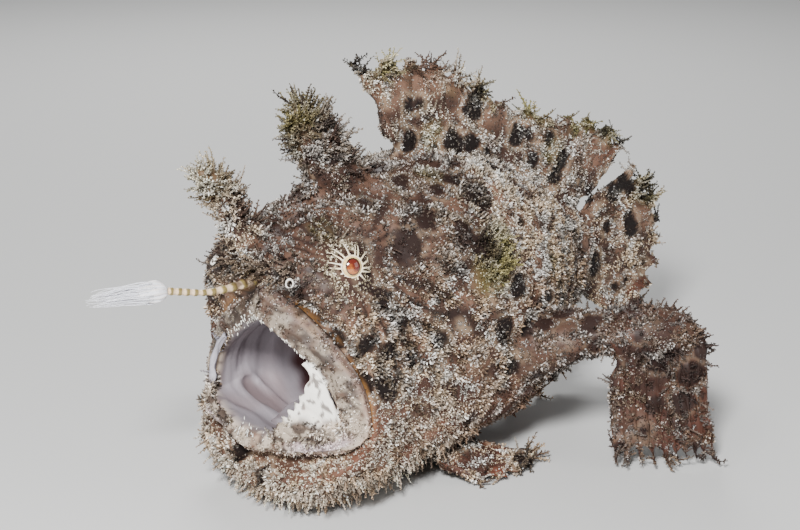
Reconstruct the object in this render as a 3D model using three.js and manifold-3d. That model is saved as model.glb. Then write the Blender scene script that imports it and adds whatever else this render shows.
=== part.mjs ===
// A hispid frogfish, life size, resting on its chin and paired fins with its mouth wide open.
// Millimetres. +Z is up, the head points to -X and the fish's left side to -Y.
// The origin is the middle of its footprint, at the level it rests on.
import * as THREE from "three";
import { mergeVertices } from "three/addons/utils/BufferGeometryUtils.js";
import Module from "manifold-3d";

const wasm = await Module();
wasm.setup();

// Driving sizes
const GAPE_HALF_WIDTH = 27.5; // from the middle of the mouth to its corner
const GAPE_TOP = 51.5; // height of the upper lip's outer edge
const CORNER_X = -46.3; // how far forward the corners of the mouth lie
const CORNER_Z = 22;
const LIP_REACH = 7.5; // how far the upper lip stands in front of the corners
const CHIN_REACH = 10.6; // and the lower lip
const PEDUNCLE_X = 56; // where the body ends and the tail fin starts
const CAUDAL_RAY = 38;
const EYE = new THREE.Vector3(-43.5, -18.6, 58.2);
const EYE_RADIUS = 3.1;
const GAP = 0.3; // clear space between touching pieces
const LOCK_SUNK = 1.1; // how deep a lock's root lies in what it grows from
const LOCK_THICK = 0.9;
const AROUND = 38; // corners of one ring of the body
const FIN_COLUMNS = 3; // strips of a fin from one ray to the next
const FIN_ROWS = 4;
const FIN_TIP_SHARE = 0.5; // a fin is this much of its thickness at its edge

// Body sections from the head's back to the tail: x, top, bottom, half width
const SECTIONS = [
  [-34, 70, -1, 27.6],
  [-20, 73.5, 1, 30.5],
  [-2, 74.5, 2.6, 30.5],
  [16, 70, 4, 26],
  [32, 62, 10, 17.5],
  [45, 54, 20, 10],
  [PEDUNCLE_X, 48.5, 27, 6],
];
const WIDEST_SHARE = 0.42; // the body is widest below its middle
const ROUND = 0.88; // 1 is an ellipse, less is squarer

const skinFinish = new THREE.MeshStandardMaterial({ color: 0xa08a6c, roughness: 0.9 });
const finFinish = new THREE.MeshStandardMaterial({ color: 0xa39072, roughness: 0.85 });
const mouthFinish = new THREE.MeshStandardMaterial({ color: 0xb9a7ab, roughness: 0.45 });
const rodFinish = new THREE.MeshStandardMaterial({ color: 0x8c8452, roughness: 0.6 });
const lureFinish = new THREE.MeshStandardMaterial({ color: 0xd9d6dc, roughness: 0.5 });
const eyeFinish = new THREE.MeshStandardMaterial({ color: 0x5c2a1c, roughness: 0.1 });

const V = (x, y, z) => new THREE.Vector3(x, y, z);
const signedPower = (value, power) => Math.sign(value) * Math.abs(value) ** power;
const mix = (a, b, t) => a + (b - a) * t;

// A seeded draw between two values, so that every run gives the same fish.
let drawn = 20260;
function draw(low, high) {
  drawn = (drawn * 1664525 + 1013904223) % 4294967296;
  return mix(low, high, drawn / 4294967296);
}

// Solids

// An indexed closed geometry as a solid that can be joined and cut.
function solidOf(geometry) {
  return new wasm.Manifold(
    new wasm.Mesh({
      numProp: 3,
      vertProperties: new Float32Array(geometry.attributes.position.array),
      triVerts: new Uint32Array(geometry.index.array),
    }),
  );
}

// A three.js geometry with only its positions, shared corners merged.
function merged(geometry) {
  geometry.deleteAttribute("normal");
  geometry.deleteAttribute("uv");
  return mergeVertices(geometry, 1e-4);
}

function named(name, solid, finish) {
  const { numProp, numVert, vertProperties, triVerts } = largest(solid).getMesh();
  const positions = new Float32Array(numVert * 3);
  for (let i = 0; i < numVert; i++)
    positions.set(vertProperties.subarray(i * numProp, i * numProp + 3), i * 3);
  const geometry = new THREE.BufferGeometry();
  geometry.setAttribute("position", new THREE.BufferAttribute(positions, 3));
  geometry.setIndex(new THREE.BufferAttribute(triVerts, 1));
  geometry.computeVertexNormals();
  const mesh = new THREE.Mesh(geometry, finish);
  mesh.name = name;
  return mesh;
}

// Only the largest closed surface of a solid.
function largest(solid) {
  return solid.decompose().reduce((a, b) => (b.volume() > a.volume() ? b : a));
}

function join(solids) {
  return solids.reduce((a, b) => a.add(b));
}

// Rings of equal length, closed at both ends by a point, as one closed surface.
function loft(rings, first, last) {
  const around = rings[0].length;
  const points = [first, ...rings.flat(), last];
  const at = (ring, i) => 1 + ring * around + (i % around);
  const faces = [];
  for (let i = 0; i < around; i++) {
    faces.push(0, at(0, i + 1), at(0, i));
    for (let ring = 0; ring + 1 < rings.length; ring++) {
      faces.push(at(ring, i), at(ring, i + 1), at(ring + 1, i));
      faces.push(at(ring, i + 1), at(ring + 1, i + 1), at(ring + 1, i));
    }
    faces.push(at(rings.length - 1, i), at(rings.length - 1, i + 1), points.length - 1);
  }
  const geometry = new THREE.BufferGeometry().setFromPoints(points);
  geometry.setIndex(faces);
  return signedVolume(points, faces) < 0 ? turned(geometry) : geometry;
}

function signedVolume(points, faces) {
  let sum = 0;
  for (let i = 0; i < faces.length; i += 3)
    sum += points[faces[i]].dot(points[faces[i + 1]].clone().cross(points[faces[i + 2]]));
  return sum;
}

function turned(geometry) {
  const index = geometry.index.array;
  for (let i = 0; i < index.length; i += 3)
    [index[i + 1], index[i + 2]] = [index[i + 2], index[i + 1]];
  return geometry;
}

// The same surface moved outwards along its normals.
function grown(geometry, by) {
  const copy = geometry.clone();
  copy.computeVertexNormals();
  const position = copy.attributes.position;
  const normal = copy.attributes.normal;
  for (let i = 0; i < position.count; i++)
    position.setXYZ(
      i,
      position.getX(i) + normal.getX(i) * by,
      position.getY(i) + normal.getY(i) * by,
      position.getZ(i) + normal.getZ(i) * by,
    );
  copy.deleteAttribute("normal");
  return copy;
}

// A curve through points at uneven stations, read at any station between them.
function along(table, x, column) {
  const last = table.length - 1;
  let i = 0;
  while (i < last - 1 && x > table[i + 1][0]) i++;
  const slope = (k) => {
    const a = table[Math.max(k - 1, 0)];
    const b = table[Math.min(k + 1, last)];
    return (b[column] - a[column]) / (b[0] - a[0]);
  };
  const width = table[i + 1][0] - table[i][0];
  const t = (x - table[i][0]) / width;
  return (
    table[i][column] * (1 - t) ** 2 * (1 + 2 * t) +
    table[i + 1][column] * t * t * (3 - 2 * t) +
    width * t * (1 - t) * (slope(i) * (1 - t) - slope(i + 1) * t)
  );
}

// Rings between control rings, each point on a Catmull-Rom curve through its own row.
function between(controls, steps) {
  const rings = [];
  for (let k = 0; k + 1 < controls.length; k++)
    for (let step = 0; step < steps; step++) {
      const t = step / steps;
      const before = controls[Math.max(k - 1, 0)];
      const after = controls[Math.min(k + 2, controls.length - 1)];
      rings.push(
        controls[k].map((p, i) => {
          const q = controls[k + 1][i];
          const leave = q.clone().sub(before[i]).multiplyScalar(0.5);
          const reach = after[i].clone().sub(p).multiplyScalar(0.5);
          return p
            .clone()
            .multiplyScalar((1 - t) ** 2 * (1 + 2 * t))
            .addScaledVector(q, t * t * (3 - 2 * t))
            .addScaledVector(leave, t * (1 - t) ** 2)
            .addScaledVector(reach, -t * t * (1 - t));
        }),
      );
    }
  rings.push(controls.at(-1));
  return rings;
}

// The body: one skin from the bottom of the throat, over the lips, to the tail

// A ring through the corners of the mouth or round the body. reach pulls its top and bottom forward,
// and a bow above 1 leaves its upper corners further back. A square above 1 makes it a pointed arch.
function ring({
  x,
  level,
  width,
  rise,
  drop,
  reachTop = 0,
  reachBottom = reachTop,
  square = ROUND,
  squareBottom = Math.max(square, ROUND),
  bow = 1,
}) {
  return Array.from({ length: AROUND }, (_, i) => {
    const turn = (i / AROUND) * 2 * Math.PI;
    const up = Math.sin(turn);
    const out = Math.cos(turn);
    const share = Math.abs(up);
    return V(
      x - (up > 0 ? reachTop * share ** bow : reachBottom * share),
      width * signedPower(out, up > 0 ? square : squareBottom),
      level + (up > 0 ? rise * share ** 0.85 : -drop * share ** 0.85),
    );
  });
}

function section(x) {
  const top = along(SECTIONS, x, 1);
  const bottom = along(SECTIONS, x, 2);
  const level = mix(bottom, top, WIDEST_SHARE);
  return ring({ x, level, width: along(SECTIONS, x, 3), rise: top - level, drop: level - bottom });
}

const THROAT = V(-15, 0, 27);
const GAPE_RISE = GAPE_TOP - CORNER_Z;
const ARCHED = { square: 2.2, squareBottom: 1.7, bow: 2 };
const mouthRings = [
  ring({ x: -19, level: 26, width: 8, rise: 9, drop: 6 }),
  ring({ x: -28, level: 25, width: 15, rise: 14.5, drop: 9 }),
  ring({ x: -38, level: 23.5, width: 19.5, rise: 19, drop: 8, reachTop: 1, square: 1.3 }),
  // inner edge of the lips, their crest, their outer edge
  ring({
    x: CORNER_X - 1.7,
    level: CORNER_Z - 0.5,
    width: GAPE_HALF_WIDTH - 7,
    rise: GAPE_RISE - 7,
    drop: 2.8,
    reachTop: LIP_REACH - 2.5,
    reachBottom: CHIN_REACH - 3.6,
    ...ARCHED,
  }),
  ring({
    x: CORNER_X - 3.2,
    level: CORNER_Z - 0.5,
    width: GAPE_HALF_WIDTH - 3,
    rise: GAPE_RISE - 2.5,
    drop: 6,
    reachTop: LIP_REACH - 0.5,
    reachBottom: CHIN_REACH - 1.1,
    ...ARCHED,
  }),
  ring({
    x: CORNER_X,
    level: CORNER_Z,
    width: GAPE_HALF_WIDTH,
    rise: GAPE_RISE,
    drop: 8.5,
    reachTop: LIP_REACH,
    reachBottom: CHIN_REACH,
    ...ARCHED,
  }),
];
const headRings = [
  // groove behind the lips, the cheek fold over the jaw bone, the snout and chin
  ring({
    x: CORNER_X + 2.3,
    level: CORNER_Z,
    width: GAPE_HALF_WIDTH - 0.9,
    rise: GAPE_RISE + 1.1,
    drop: 9.5,
    reachTop: LIP_REACH,
    reachBottom: CHIN_REACH,
    ...ARCHED,
  }),
  ring({
    x: CORNER_X + 1.8,
    level: CORNER_Z + 0.5,
    width: GAPE_HALF_WIDTH + 1.1,
    rise: 34,
    drop: 13,
    reachTop: 12,
    reachBottom: 14,
    square: 0.8,
    bow: 2,
  }),
  ring({ x: -41, level: 25, width: 28.8, rise: 38.6, drop: 23, reachTop: 12.5, reachBottom: 14, square: 0.9 }),
  ring({ x: -38, level: 28, width: 28.6, rise: 40, drop: 29.5, reachTop: 5, reachBottom: 5, square: 0.95 }),
];
const trunkStations = [-32, -22, -10, 4, 16, 28, 38, 48, PEDUNCLE_X - 0.5];
const bodyControls = [...mouthRings, ...headRings, ...trunkStations.map(section)];
const bodyRings = between(bodyControls, 2);
const bodySurface = loft(bodyRings, THROAT, V(PEDUNCLE_X + 3, 0, 37.5));
const wholeBody = solidOf(bodySurface);
const bodyClear = solidOf(grown(bodySurface, GAP));

const floorBlock = solidOf(merged(new THREE.BoxGeometry(400, 400, 100).translate(0, 0, -50)));
const aboveFloor = (solid) => solid.subtract(floorBlock);

// A thin cut through everything, at a point and square to a direction.
function thinCut(point, facing, thickness = GAP) {
  const plate = new THREE.BoxGeometry(300, 300, thickness);
  plate.applyQuaternion(new THREE.Quaternion().setFromUnitVectors(V(0, 0, 1), facing.normalize()));
  return solidOf(merged(plate.translate(point.x, point.y, point.z)));
}

// Fins: a membrane from a line of ray roots to a line of ray tips

// rootOf and tipOf give points for a share across the fin from 0 to 1. bow bends the rays between
// them, and flesh thickens the fin towards its root. at gives a place and its directions.
function fin({ rootOf, tipOf, rays, bow = V(0, 0, 0), web = 1.2, ray = 2.6, flesh = 0, notch = 0.12 }) {
  const columns = (rays - 1) * FIN_COLUMNS;
  const rows = FIN_ROWS;
  const ridgeAt = (u) => 0.5 + 0.5 * Math.cos(2 * Math.PI * u * (rays - 1));
  const pointAt = (u, v) => {
    const reach = v * (1 - notch * (1 - ridgeAt(u)));
    return rootOf(u).clone().lerp(tipOf(u), reach).addScaledVector(bow, 4 * reach * (1 - reach));
  };
  const step = 1e-3;
  const at = (u, v) => {
    const point = pointAt(u, v);
    const across = pointAt(Math.min(u + step, 1), v).sub(pointAt(Math.max(u - step, 0), v));
    const outward = pointAt(u, Math.min(v + step, 1)).sub(pointAt(u, Math.max(v - step, 0)));
    const facing = across.clone().cross(outward).normalize();
    const half = (mix(web, ray, ridgeAt(u) ** 2) * mix(1, FIN_TIP_SHARE, v) + flesh * (1 - v) ** 2) / 2;
    return { point, across: across.normalize(), outward: outward.normalize(), facing, half };
  };
  const sides = [[], []];
  for (let j = 0; j <= rows; j++)
    for (let i = 0; i <= columns; i++) {
      const { point, facing, half } = at(i / columns, j / rows);
      sides[0].push(point.clone().addScaledVector(facing, half));
      sides[1].push(point.clone().addScaledVector(facing, -half));
    }
  const points = sides.flat();
  const back = sides[0].length;
  const index = (i, j) => j * (columns + 1) + i;
  const faces = [];
  const quad = (a, b, c, d) => faces.push(a, b, c, a, c, d);
  for (let j = 0; j < rows; j++)
    for (let i = 0; i < columns; i++) {
      const [a, b, c, d] = [index(i, j), index(i + 1, j), index(i + 1, j + 1), index(i, j + 1)];
      quad(a, b, c, d);
      faces.push(back + a, back + c, back + b, back + a, back + d, back + c);
    }
  const rim = [];
  for (let i = 0; i < columns; i++)
    rim.push([index(i + 1, 0), index(i, 0)], [index(i, rows), index(i + 1, rows)]);
  for (let j = 0; j < rows; j++)
    rim.push([index(0, j), index(0, j + 1)], [index(columns, j + 1), index(columns, j)]);
  for (const [a, b] of rim) quad(a, b, back + b, back + a);
  const geometry = new THREE.BufferGeometry().setFromPoints(points);
  geometry.setIndex(faces);
  return { geometry: signedVolume(points, faces) < 0 ? turned(geometry) : geometry, at, rays };
}

// A row of points for shares 0 to 1, on a smooth curve.
function line(...points) {
  const curve = new THREE.CatmullRomCurve3(points);
  return (u) => curve.getPoint(u);
}

// A limb or stem: rings round a curve. radii lists [share, half width across, half height].
function limb({ points, radii, around = 14, rows = 8, side = V(0, 1, 0) }) {
  const curve = new THREE.CatmullRomCurve3(points);
  const at = (t, turn) => {
    const centre = curve.getPoint(t);
    const forward = curve.getTangent(t);
    const high = forward.clone().cross(side).normalize();
    const wide = high.clone().cross(forward).normalize();
    const facing = wide
      .multiplyScalar(along(radii, t, 1) * Math.cos(turn))
      .addScaledVector(high, along(radii, t, 2) * Math.sin(turn));
    return { point: centre.add(facing), facing: facing.clone().normalize(), outward: forward };
  };
  const rings = Array.from({ length: rows + 1 }, (_, j) =>
    Array.from({ length: around }, (_, i) => at(j / rows, (i / around) * 2 * Math.PI).point),
  );
  const ends = [0, 1].map((t) => {
    const bulge = Math.min(along(radii, t, 1), along(radii, t, 2)) * 0.4 * (t ? 1 : -1);
    return curve.getPoint(t).addScaledVector(curve.getTangent(t), bulge);
  });
  return { geometry: loft(rings, ends[0], ends[1]), at };
}

// Locks: flat tapered tassels of skin, three-sided, that leave their root along out and bend to lie

const LOCK_SHAPE = [
  // share of the way, share of the width, share of the thickness
  [0, 0.5, 0.9],
  [0.42, 1, 0.9],
  [0.75, 0.6, 0.7],
];
function lock({ root, out, lie, length, width, sunk = LOCK_SUNK }) {
  const away = out.clone().normalize();
  const bend = lie.clone().normalize();
  const curve = new THREE.QuadraticBezierCurve3(
    root.clone().addScaledVector(away, -sunk),
    root.clone().addScaledVector(away, length * 0.5),
    root.clone().addScaledVector(away, length * 0.65).addScaledVector(bend, length * 0.6),
  );
  const wide = away.clone().cross(bend).normalize();
  const rings = LOCK_SHAPE.map(([t, breadth, depth]) => {
    const centre = curve.getPoint(t);
    const high = wide.clone().cross(curve.getTangent(t)).normalize();
    return [
      centre.clone().addScaledVector(wide, (width / 2) * breadth),
      centre.clone().addScaledVector(high, LOCK_THICK * depth),
      centre.clone().addScaledVector(wide, (-width / 2) * breadth),
    ];
  });
  const middle = rings[0][0].clone().lerp(rings[0][2], 0.5).lerp(rings[0][1], 0.33);
  const geometry = loft(rings, middle, curve.getPoint(1));
  return { solid: solidOf(geometry), clear: solidOf(grown(geometry, GAP)) };
}

const mirrored = (p) => V(p.x, -p.y, p.z);
const onSide = (side, points) => (side === "left" ? points : points.map(mirrored));
const sign = (side) => (side === "left" ? -1 : 1);
const UP = V(0, 0, 1);

// Every piece, with its shape grown by the gap, so that nothing crosses a neighbour
const pieces = {};
function add(name, geometry, finish, cutBy = []) {
  const cut = cutBy.reduce((solid, other) => solid.subtract(other), solidOf(geometry));
  pieces[name] = { solid: aboveFloor(cut), clear: solidOf(grown(geometry, GAP)), finish };
}

// Joins locks to a piece, apart from those that would come near another piece.
function plant(name, locks) {
  const piece = pieces[name];
  const others = Object.keys(pieces).filter((other) => other !== name);
  for (const one of locks) {
    const free = others.every((other) => one.solid.intersect(pieces[other].clear).isEmpty());
    if (!free || one.solid.intersect(piece.solid).isEmpty()) continue;
    piece.solid = piece.solid.add(one.solid);
    piece.clear = piece.clear.add(one.clear);
  }
}

// The head, jaw, trunk and tail are one skin parted by thin cuts
const CUTS = {
  jaw: [V(CORNER_X, 0, CORNER_Z), V(-0.86, 0, -0.5)],
  neck: [V(-8, 0, 30), V(1, 0, 0.1)],
  tail: [V(40, 0, 35), V(1, 0, -0.15)],
};
const cuts = Object.values(CUTS).map(([point, facing]) => thinCut(point, facing));
const seams = Object.values(CUTS).map(([point, facing]) => thinCut(point, facing, 4 * GAP));
const trunk = cuts
  .reduce((solid, cut, i) => (i ? solid.subtract(cut) : solid), aboveFloor(wholeBody))
  .decompose()
  .sort((a, b) => a.boundingBox().min[0] - b.boundingBox().min[0]);
const [jawBlock, skullBlock] = trunk[0]
  .subtract(cuts[0])
  .decompose()
  .filter((piece) => piece.volume() > 100)
  .sort((a, b) => a.boundingBox().max[2] - b.boundingBox().max[2]);

// Eyes: a ball in a socket on each side of the head, inside a raised rim
const eyeAt = (side) => (side === "left" ? EYE : mirrored(EYE));
function ball(centre, radius, detail = 10) {
  const sphere = new THREE.SphereGeometry(radius, detail + 2, detail);
  return merged(sphere.translate(centre.x, centre.y, centre.z));
}
function orbit(side) {
  const rim = eyeAt(side).clone().add(V(0.8, -sign(side) * 1.85, -0.95));
  return solidOf(ball(rim, EYE_RADIUS + 1.7));
}

// A nostril: a short open tube on the snout
const NOSTRIL = V(-54.5, -12.4, 54.6);
function nostril(side) {
  const ringShape = new THREE.TorusGeometry(0.95, 0.45, 5, 9);
  const facing = V(-0.55, sign(side) * 0.5, 0.65).normalize();
  ringShape.applyQuaternion(new THREE.Quaternion().setFromUnitVectors(UP, facing));
  const place = side === "left" ? NOSTRIL : mirrored(NOSTRIL);
  return solidOf(merged(ringShape.translate(place.x, place.y, place.z)));
}

// A tooth: a short cone on the inner edge of a lip
const TOOTH = { length: 1.3, radius: 0.45 };
function tooth(root, facing) {
  const cone = new THREE.ConeGeometry(TOOTH.radius, TOOTH.length + 0.8, 4);
  cone.translate(0, TOOTH.length / 2 - 0.4, 0);
  cone.applyQuaternion(new THREE.Quaternion().setFromUnitVectors(V(0, 1, 0), facing.normalize()));
  return solidOf(merged(cone.translate(root.x, root.y, root.z)));
}

// A place on the body's skin: row counts rings from the throat, turn goes once round from the
// fish's right over its back.
function onBody(row, turn) {
  const at = (r, t) => {
    const [j, i] = [Math.min(Math.floor(r), bodyRings.length - 2), Math.floor(t * AROUND)];
    const [v, u] = [r - j, t * AROUND - i];
    const corner = (a, b) => bodyRings[a][((b % AROUND) + AROUND) % AROUND];
    const low = corner(j, i).clone().lerp(corner(j, i + 1), u);
    return low.lerp(corner(j + 1, i).clone().lerp(corner(j + 1, i + 1), u), v);
  };
  const step = 0.3;
  const backward = at(row + step, turn).sub(at(row - step, turn)).normalize();
  const round = at(row, turn + step / AROUND).sub(at(row, turn - step / AROUND)).normalize();
  return { point: at(row, turn), facing: round.cross(backward).normalize(), outward: backward };
}

// Rows of the body, counted in rings from the bottom of the throat
const LIP_INNER_ROW = 6.6;
const SNOUT_ROW = 14;
const CHIN_ROW = 15.2;
const BROW_ROW = 18.5;

const teeth = [];
for (const [from, to, count, down] of [
  [0.14, 0.36, 12, -1],
  [0.64, 0.86, 10, 1],
])
  for (let i = 0; i < count; i++) {
    const { point, facing } = onBody(LIP_INNER_ROW, mix(from, to, (i + draw(0.3, 0.7)) / count));
    teeth.push(tooth(point, V(0.25, 0, down).addScaledVector(facing, 0.5)));
  }
const upper = teeth.slice(0, 12);
const lower = teeth.slice(12);

const skull = join([skullBlock, orbit("left"), orbit("right"), nostril("left"), nostril("right"), ...upper])
  .subtract(solidOf(ball(eyeAt("left"), EYE_RADIUS + GAP)))
  .subtract(solidOf(ball(eyeAt("right"), EYE_RADIUS + GAP)));
const jaw = join([jawBlock, ...lower]);
for (const [name, solid] of Object.entries({ head: skull, lower_jaw: jaw, torso: trunk[1], tail: trunk[2] }))
  pieces[name] = { solid, clear: solid, finish: skinFinish };

// Tongue: a low pad on the floor of the mouth
const tongue = limb({
  points: [V(-47, 0, 16.4), V(-38, 0, 17), V(-28, 0, 19)],
  radii: [[0, 5, 2.2], [0.5, 8, 3.4], [1, 6.5, 2.8]],
  around: 12,
  rows: 6,
});
add("tongue", tongue.geometry, mouthFinish, [bodyClear]);

// The lure: a thin rod on the snout's tip, and its tassel of long filaments
const ROD_ROOT = V(-54.5, 0, 53.2);
const ROD_TIP = V(-76.2, 3, 55.1);
const ROD_RADIUS = 0.9;
const LURE_LENGTH = 19;
const FILAMENTS = 14;
const lureAxis = V(-0.96, 0.27, 0.09).normalize();
const rod = limb({
  points: [ROD_ROOT, V(-67.5, 0.6, 53.4), ROD_TIP],
  radii: [[0, 1.4 * ROD_RADIUS, 1.4 * ROD_RADIUS], [0.5, ROD_RADIUS, ROD_RADIUS], [1, ROD_RADIUS, ROD_RADIUS]],
  around: 8,
});
add("illicium", rod.geometry, rodFinish, [bodyClear]);
const lureRoot = ROD_TIP.clone().addScaledVector(lureAxis, GAP + ROD_RADIUS * 0.4);
const lurePoint = (share) => lureRoot.clone().addScaledVector(lureAxis, LURE_LENGTH * share);
const bulb = limb({
  points: [lurePoint(0), lurePoint(0.25), lurePoint(0.5)],
  radii: [[0, 1.1, 1.1], [0.4, 2.6, 2.6], [1, 1.4, 1.4]],
  around: 8,
  rows: 5,
});
add("esca", bulb.geometry, lureFinish);
const lureOut = V(0, 0, 1).cross(lureAxis).normalize();
const filaments = [];
for (let i = 0; i < FILAMENTS; i++) {
  const turn = (i / FILAMENTS) * 2 * Math.PI;
  const out = lureOut.clone().applyAxisAngle(lureAxis, turn);
  const start = draw(0.12, 0.34);
  filaments.push(
    lock({
      root: lurePoint(start).addScaledVector(out, 1.9),
      out: out.clone().multiplyScalar(draw(0.25, 0.6)).addScaledVector(lureAxis, 1),
      lie: lureAxis.clone().addScaledVector(out, -0.35),
      length: LURE_LENGTH * (draw(0.8, 0.98) - start) * 0.85,
      width: 1.2,
    }),
  );
}
plant("esca", filaments);

// Second and third dorsal spines
const second = limb({
  points: [V(-48.5, 0, 58.5), V(-58, 0, 66), V(-63, 0, 74), V(-68.5, 0, 80)],
  radii: [[0, 4, 5.4], [0.4, 3, 4.2], [0.75, 2.2, 3], [1, 1.4, 1.8]],
  around: 10,
});
const third = limb({
  points: [V(-24, 0, 63), V(-31, 0, 75), V(-37, 0, 84), V(-41.5, 0, 91)],
  radii: [[0, 6, 11], [0.35, 4.8, 8.6], [0.75, 3.8, 5.4], [1, 2.4, 3]],
  around: 12,
});
add("second_dorsal_spine", second.geometry, skinFinish, [bodyClear]);
add("third_dorsal_spine", third.geometry, skinFinish, [bodyClear]);

// Soft dorsal, tail and anal fins, in the middle plane
const dorsal = fin({
  rootOf: line(V(-11, 0, 70), V(18, 0, 64), V(52, 0, 47)),
  tipOf: line(V(-26, 0, 99), V(-7, 0, 98), V(9, 0, 92), V(27, 0, 82), V(44, 0, 75.5), V(60, 0, 73), V(75, 0, 64)),
  rays: 13,
  bow: V(3, 0, 0),
  flesh: 4,
});
const caudal = fin({
  rootOf: line(V(PEDUNCLE_X - 4, 0, 47), V(PEDUNCLE_X, 0, 37.5), V(PEDUNCLE_X - 4, 0, 28)),
  tipOf: line(
    V(PEDUNCLE_X + 24, 0, 57),
    V(PEDUNCLE_X + 34.5, 0, 45),
    V(PEDUNCLE_X + CAUDAL_RAY - 1.5, 0, 33),
    V(PEDUNCLE_X + 34, 0, 20),
    V(PEDUNCLE_X + 26, 0, 11),
  ),
  rays: 9,
  flesh: 3,
});
const anal = fin({
  rootOf: line(V(20, 0, 9), V(33, 0, 15), V(46, 0, 24)),
  tipOf: line(V(30, 0, -1.5), V(43, 0, 0), V(54, 0, 4), V(60, 0, 10)),
  rays: 7,
  flesh: 2,
});
add("soft_dorsal_fin", dorsal.geometry, finFinish, [bodyClear, pieces.third_dorsal_spine.clear]);
add("caudal_fin", caudal.geometry, finFinish, [bodyClear]);
add("anal_fin", anal.geometry, finFinish, [bodyClear]);

// Paired limbs: an arm from the flank with a hand of rays on the floor, and small pelvic hands
const ARM_PATH = [V(6, -20, 27), V(14, -31, 30.5), V(22, -41, 32.5), V(29.5, -50, 33), V(36, -56, 29.5)];
const arms = {};
for (const side of ["left", "right"]) {
  const arm = limb({
    points: onSide(side, ARM_PATH),
    radii: [[0, 10, 12], [0.35, 6.4, 8.2], [0.6, 6, 7.4], [0.8, 5.4, 6], [1, 3, 3.4]],
    side: V(0, 0, 1),
  });
  const hand = fin({
    rootOf: line(...onSide(side, [V(20, -42, 31), V(28, -50, 33), V(36, -57, 31)])),
    tipOf: line(...onSide(side, [V(18.5, -45, -1), V(28, -55, -1), V(37, -60.5, -1)])),
    rays: 10,
    bow: V(-0.4, -sign(side) * 1.2, 0),
    web: 1.8,
    ray: 3.2,
    flesh: 4,
  });
  const foot = fin({
    rootOf: line(...onSide(side, [V(-20, -14, 6), V(-14, -14, 7.5), V(-8, -13, 7)])),
    tipOf: line(...onSide(side, [V(-12, -31, -0.8), V(0, -34, -0.8), V(9, -29, -0.8)])),
    rays: 5,
    web: 1.8,
    ray: 3.2,
    flesh: 2,
  });
  arms[side] = { arm, hand, foot };
  add("eye_" + side, ball(eyeAt(side), EYE_RADIUS), eyeFinish);
  add("pectoral_arm_" + side, arm.geometry, skinFinish, [bodyClear]);
  add("pectoral_fin_" + side, hand.geometry, finFinish, [pieces["pectoral_arm_" + side].clear]);
  add("pelvic_fin_" + side, foot.geometry, finFinish, [bodyClear]);
}

// Tassels on the spines
function stemLocks({ at }, count, [low, high], [from, to], length, width) {
  return Array.from({ length: count }, (_, i) => {
    const share = mix(low, high, (i + draw(0.2, 0.8)) / count);
    const turn = mix(from, to, (i * 0.618 + draw(0, 0.12)) % 1);
    const { point, facing, outward } = at(share, turn);
    return lock({
      root: point,
      out: facing.clone().addScaledVector(outward, 0.9),
      lie: outward.clone().addScaledVector(facing, draw(-0.2, 0.5)),
      length: length * draw(0.8, 1.2),
      width,
    });
  });
}
const tipLocks = ({ at }, count, length, width) =>
  Array.from({ length: count }, (_, i) => {
    const { facing, outward, point } = at(1, (i / count) * 2 * Math.PI);
    const out = outward.clone().addScaledVector(facing, 0.6);
    return lock({ root: point, out, lie: facing, length: length * draw(0.8, 1.2), width });
  });
plant("second_dorsal_spine", [
  ...stemLocks(second, 11, [0.34, 0.95], [Math.PI * 0.1, Math.PI * 1.9], 4, 2.6),
  ...tipLocks(second, 3, 3.8, 2.4),
]);
plant("third_dorsal_spine", [
  ...stemLocks(third, 14, [0.42, 0.97], [0, 2 * Math.PI], 4, 3),
  ...tipLocks(third, 4, 3.6, 3),
]);

// Tassels on the edge of a fin: a few at the tip of each ray, spread in the fin's own plane
function edgeLocks({ at, rays }, count, length, width, spread = 0.7) {
  const locks = [];
  for (let k = 0; k < rays; k++)
    for (let i = 0; i < count; i++) {
      const { point, across, outward, facing } = at(k / (rays - 1), 0.97);
      const lean = count > 1 ? mix(-spread, spread, i / (count - 1)) : 0;
      const tilt = (k + i) % 2 ? 1 : -1;
      locks.push(
        lock({
          root: point,
          out: outward.clone().addScaledVector(across, lean * 0.6),
          lie: across.clone().multiplyScalar(lean + 0.1).addScaledVector(facing, tilt * 0.5).addScaledVector(outward, 0.5),
          length: length * draw(0.75, 1.25),
          width,
          sunk: 1.1,
        }),
      );
    }
  return locks;
}
plant("soft_dorsal_fin", edgeLocks(dorsal, 2, 3.9, 3));
plant("caudal_fin", edgeLocks(caudal, 1, 3.2, 2.8));
plant("anal_fin", edgeLocks(anal, 1, 2.4, 2.2));

for (const side of ["left", "right"]) {
  const { arm } = arms[side];
  plant("pectoral_arm_" + side, stemLocks(arm, 7, [0.4, 0.98], [0.05 * Math.PI, 0.95 * Math.PI], 3.2, 3));
}

// Tassels on the body
function bodyLocks(spots, length, width, lie, lift = 0.3) {
  return spots.map(([row, turn]) => {
    const { point, facing } = onBody(row, turn);
    const size = length * draw(0.75, 1.25);
    const out = facing.clone().addScaledVector(lie, lift);
    const bend = lie.clone().add(V(draw(-0.4, 0.4), draw(-0.4, 0.4), draw(-0.4, 0.4)));
    return lock({ root: point, out, lie: bend, length: size, width });
  });
}
function plantOnBody(names, locks) {
  const clearOfSeams = locks.filter((one) => seams.every((seam) => one.solid.intersect(seam).isEmpty()));
  for (const name of names)
    plant(name, clearOfSeams.filter((one) => !one.solid.intersect(pieces[name].solid).isEmpty()));
}
// fringe along the chin and the lower edge of the cheeks
const FRINGE = 26;
const fringe = Array.from({ length: FRINGE }, (_, i) => [
  CHIN_ROW + (i % 2 ? 1.1 : 0) + Math.abs(i - FRINGE / 2) * 0.05,
  mix(0.535, 0.965, (i + 0.5) / FRINGE),
]);
plantOnBody(["lower_jaw", "head"], bodyLocks(fringe, 4.6, 3.6, V(-0.25, 0, -0.9)));
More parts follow.
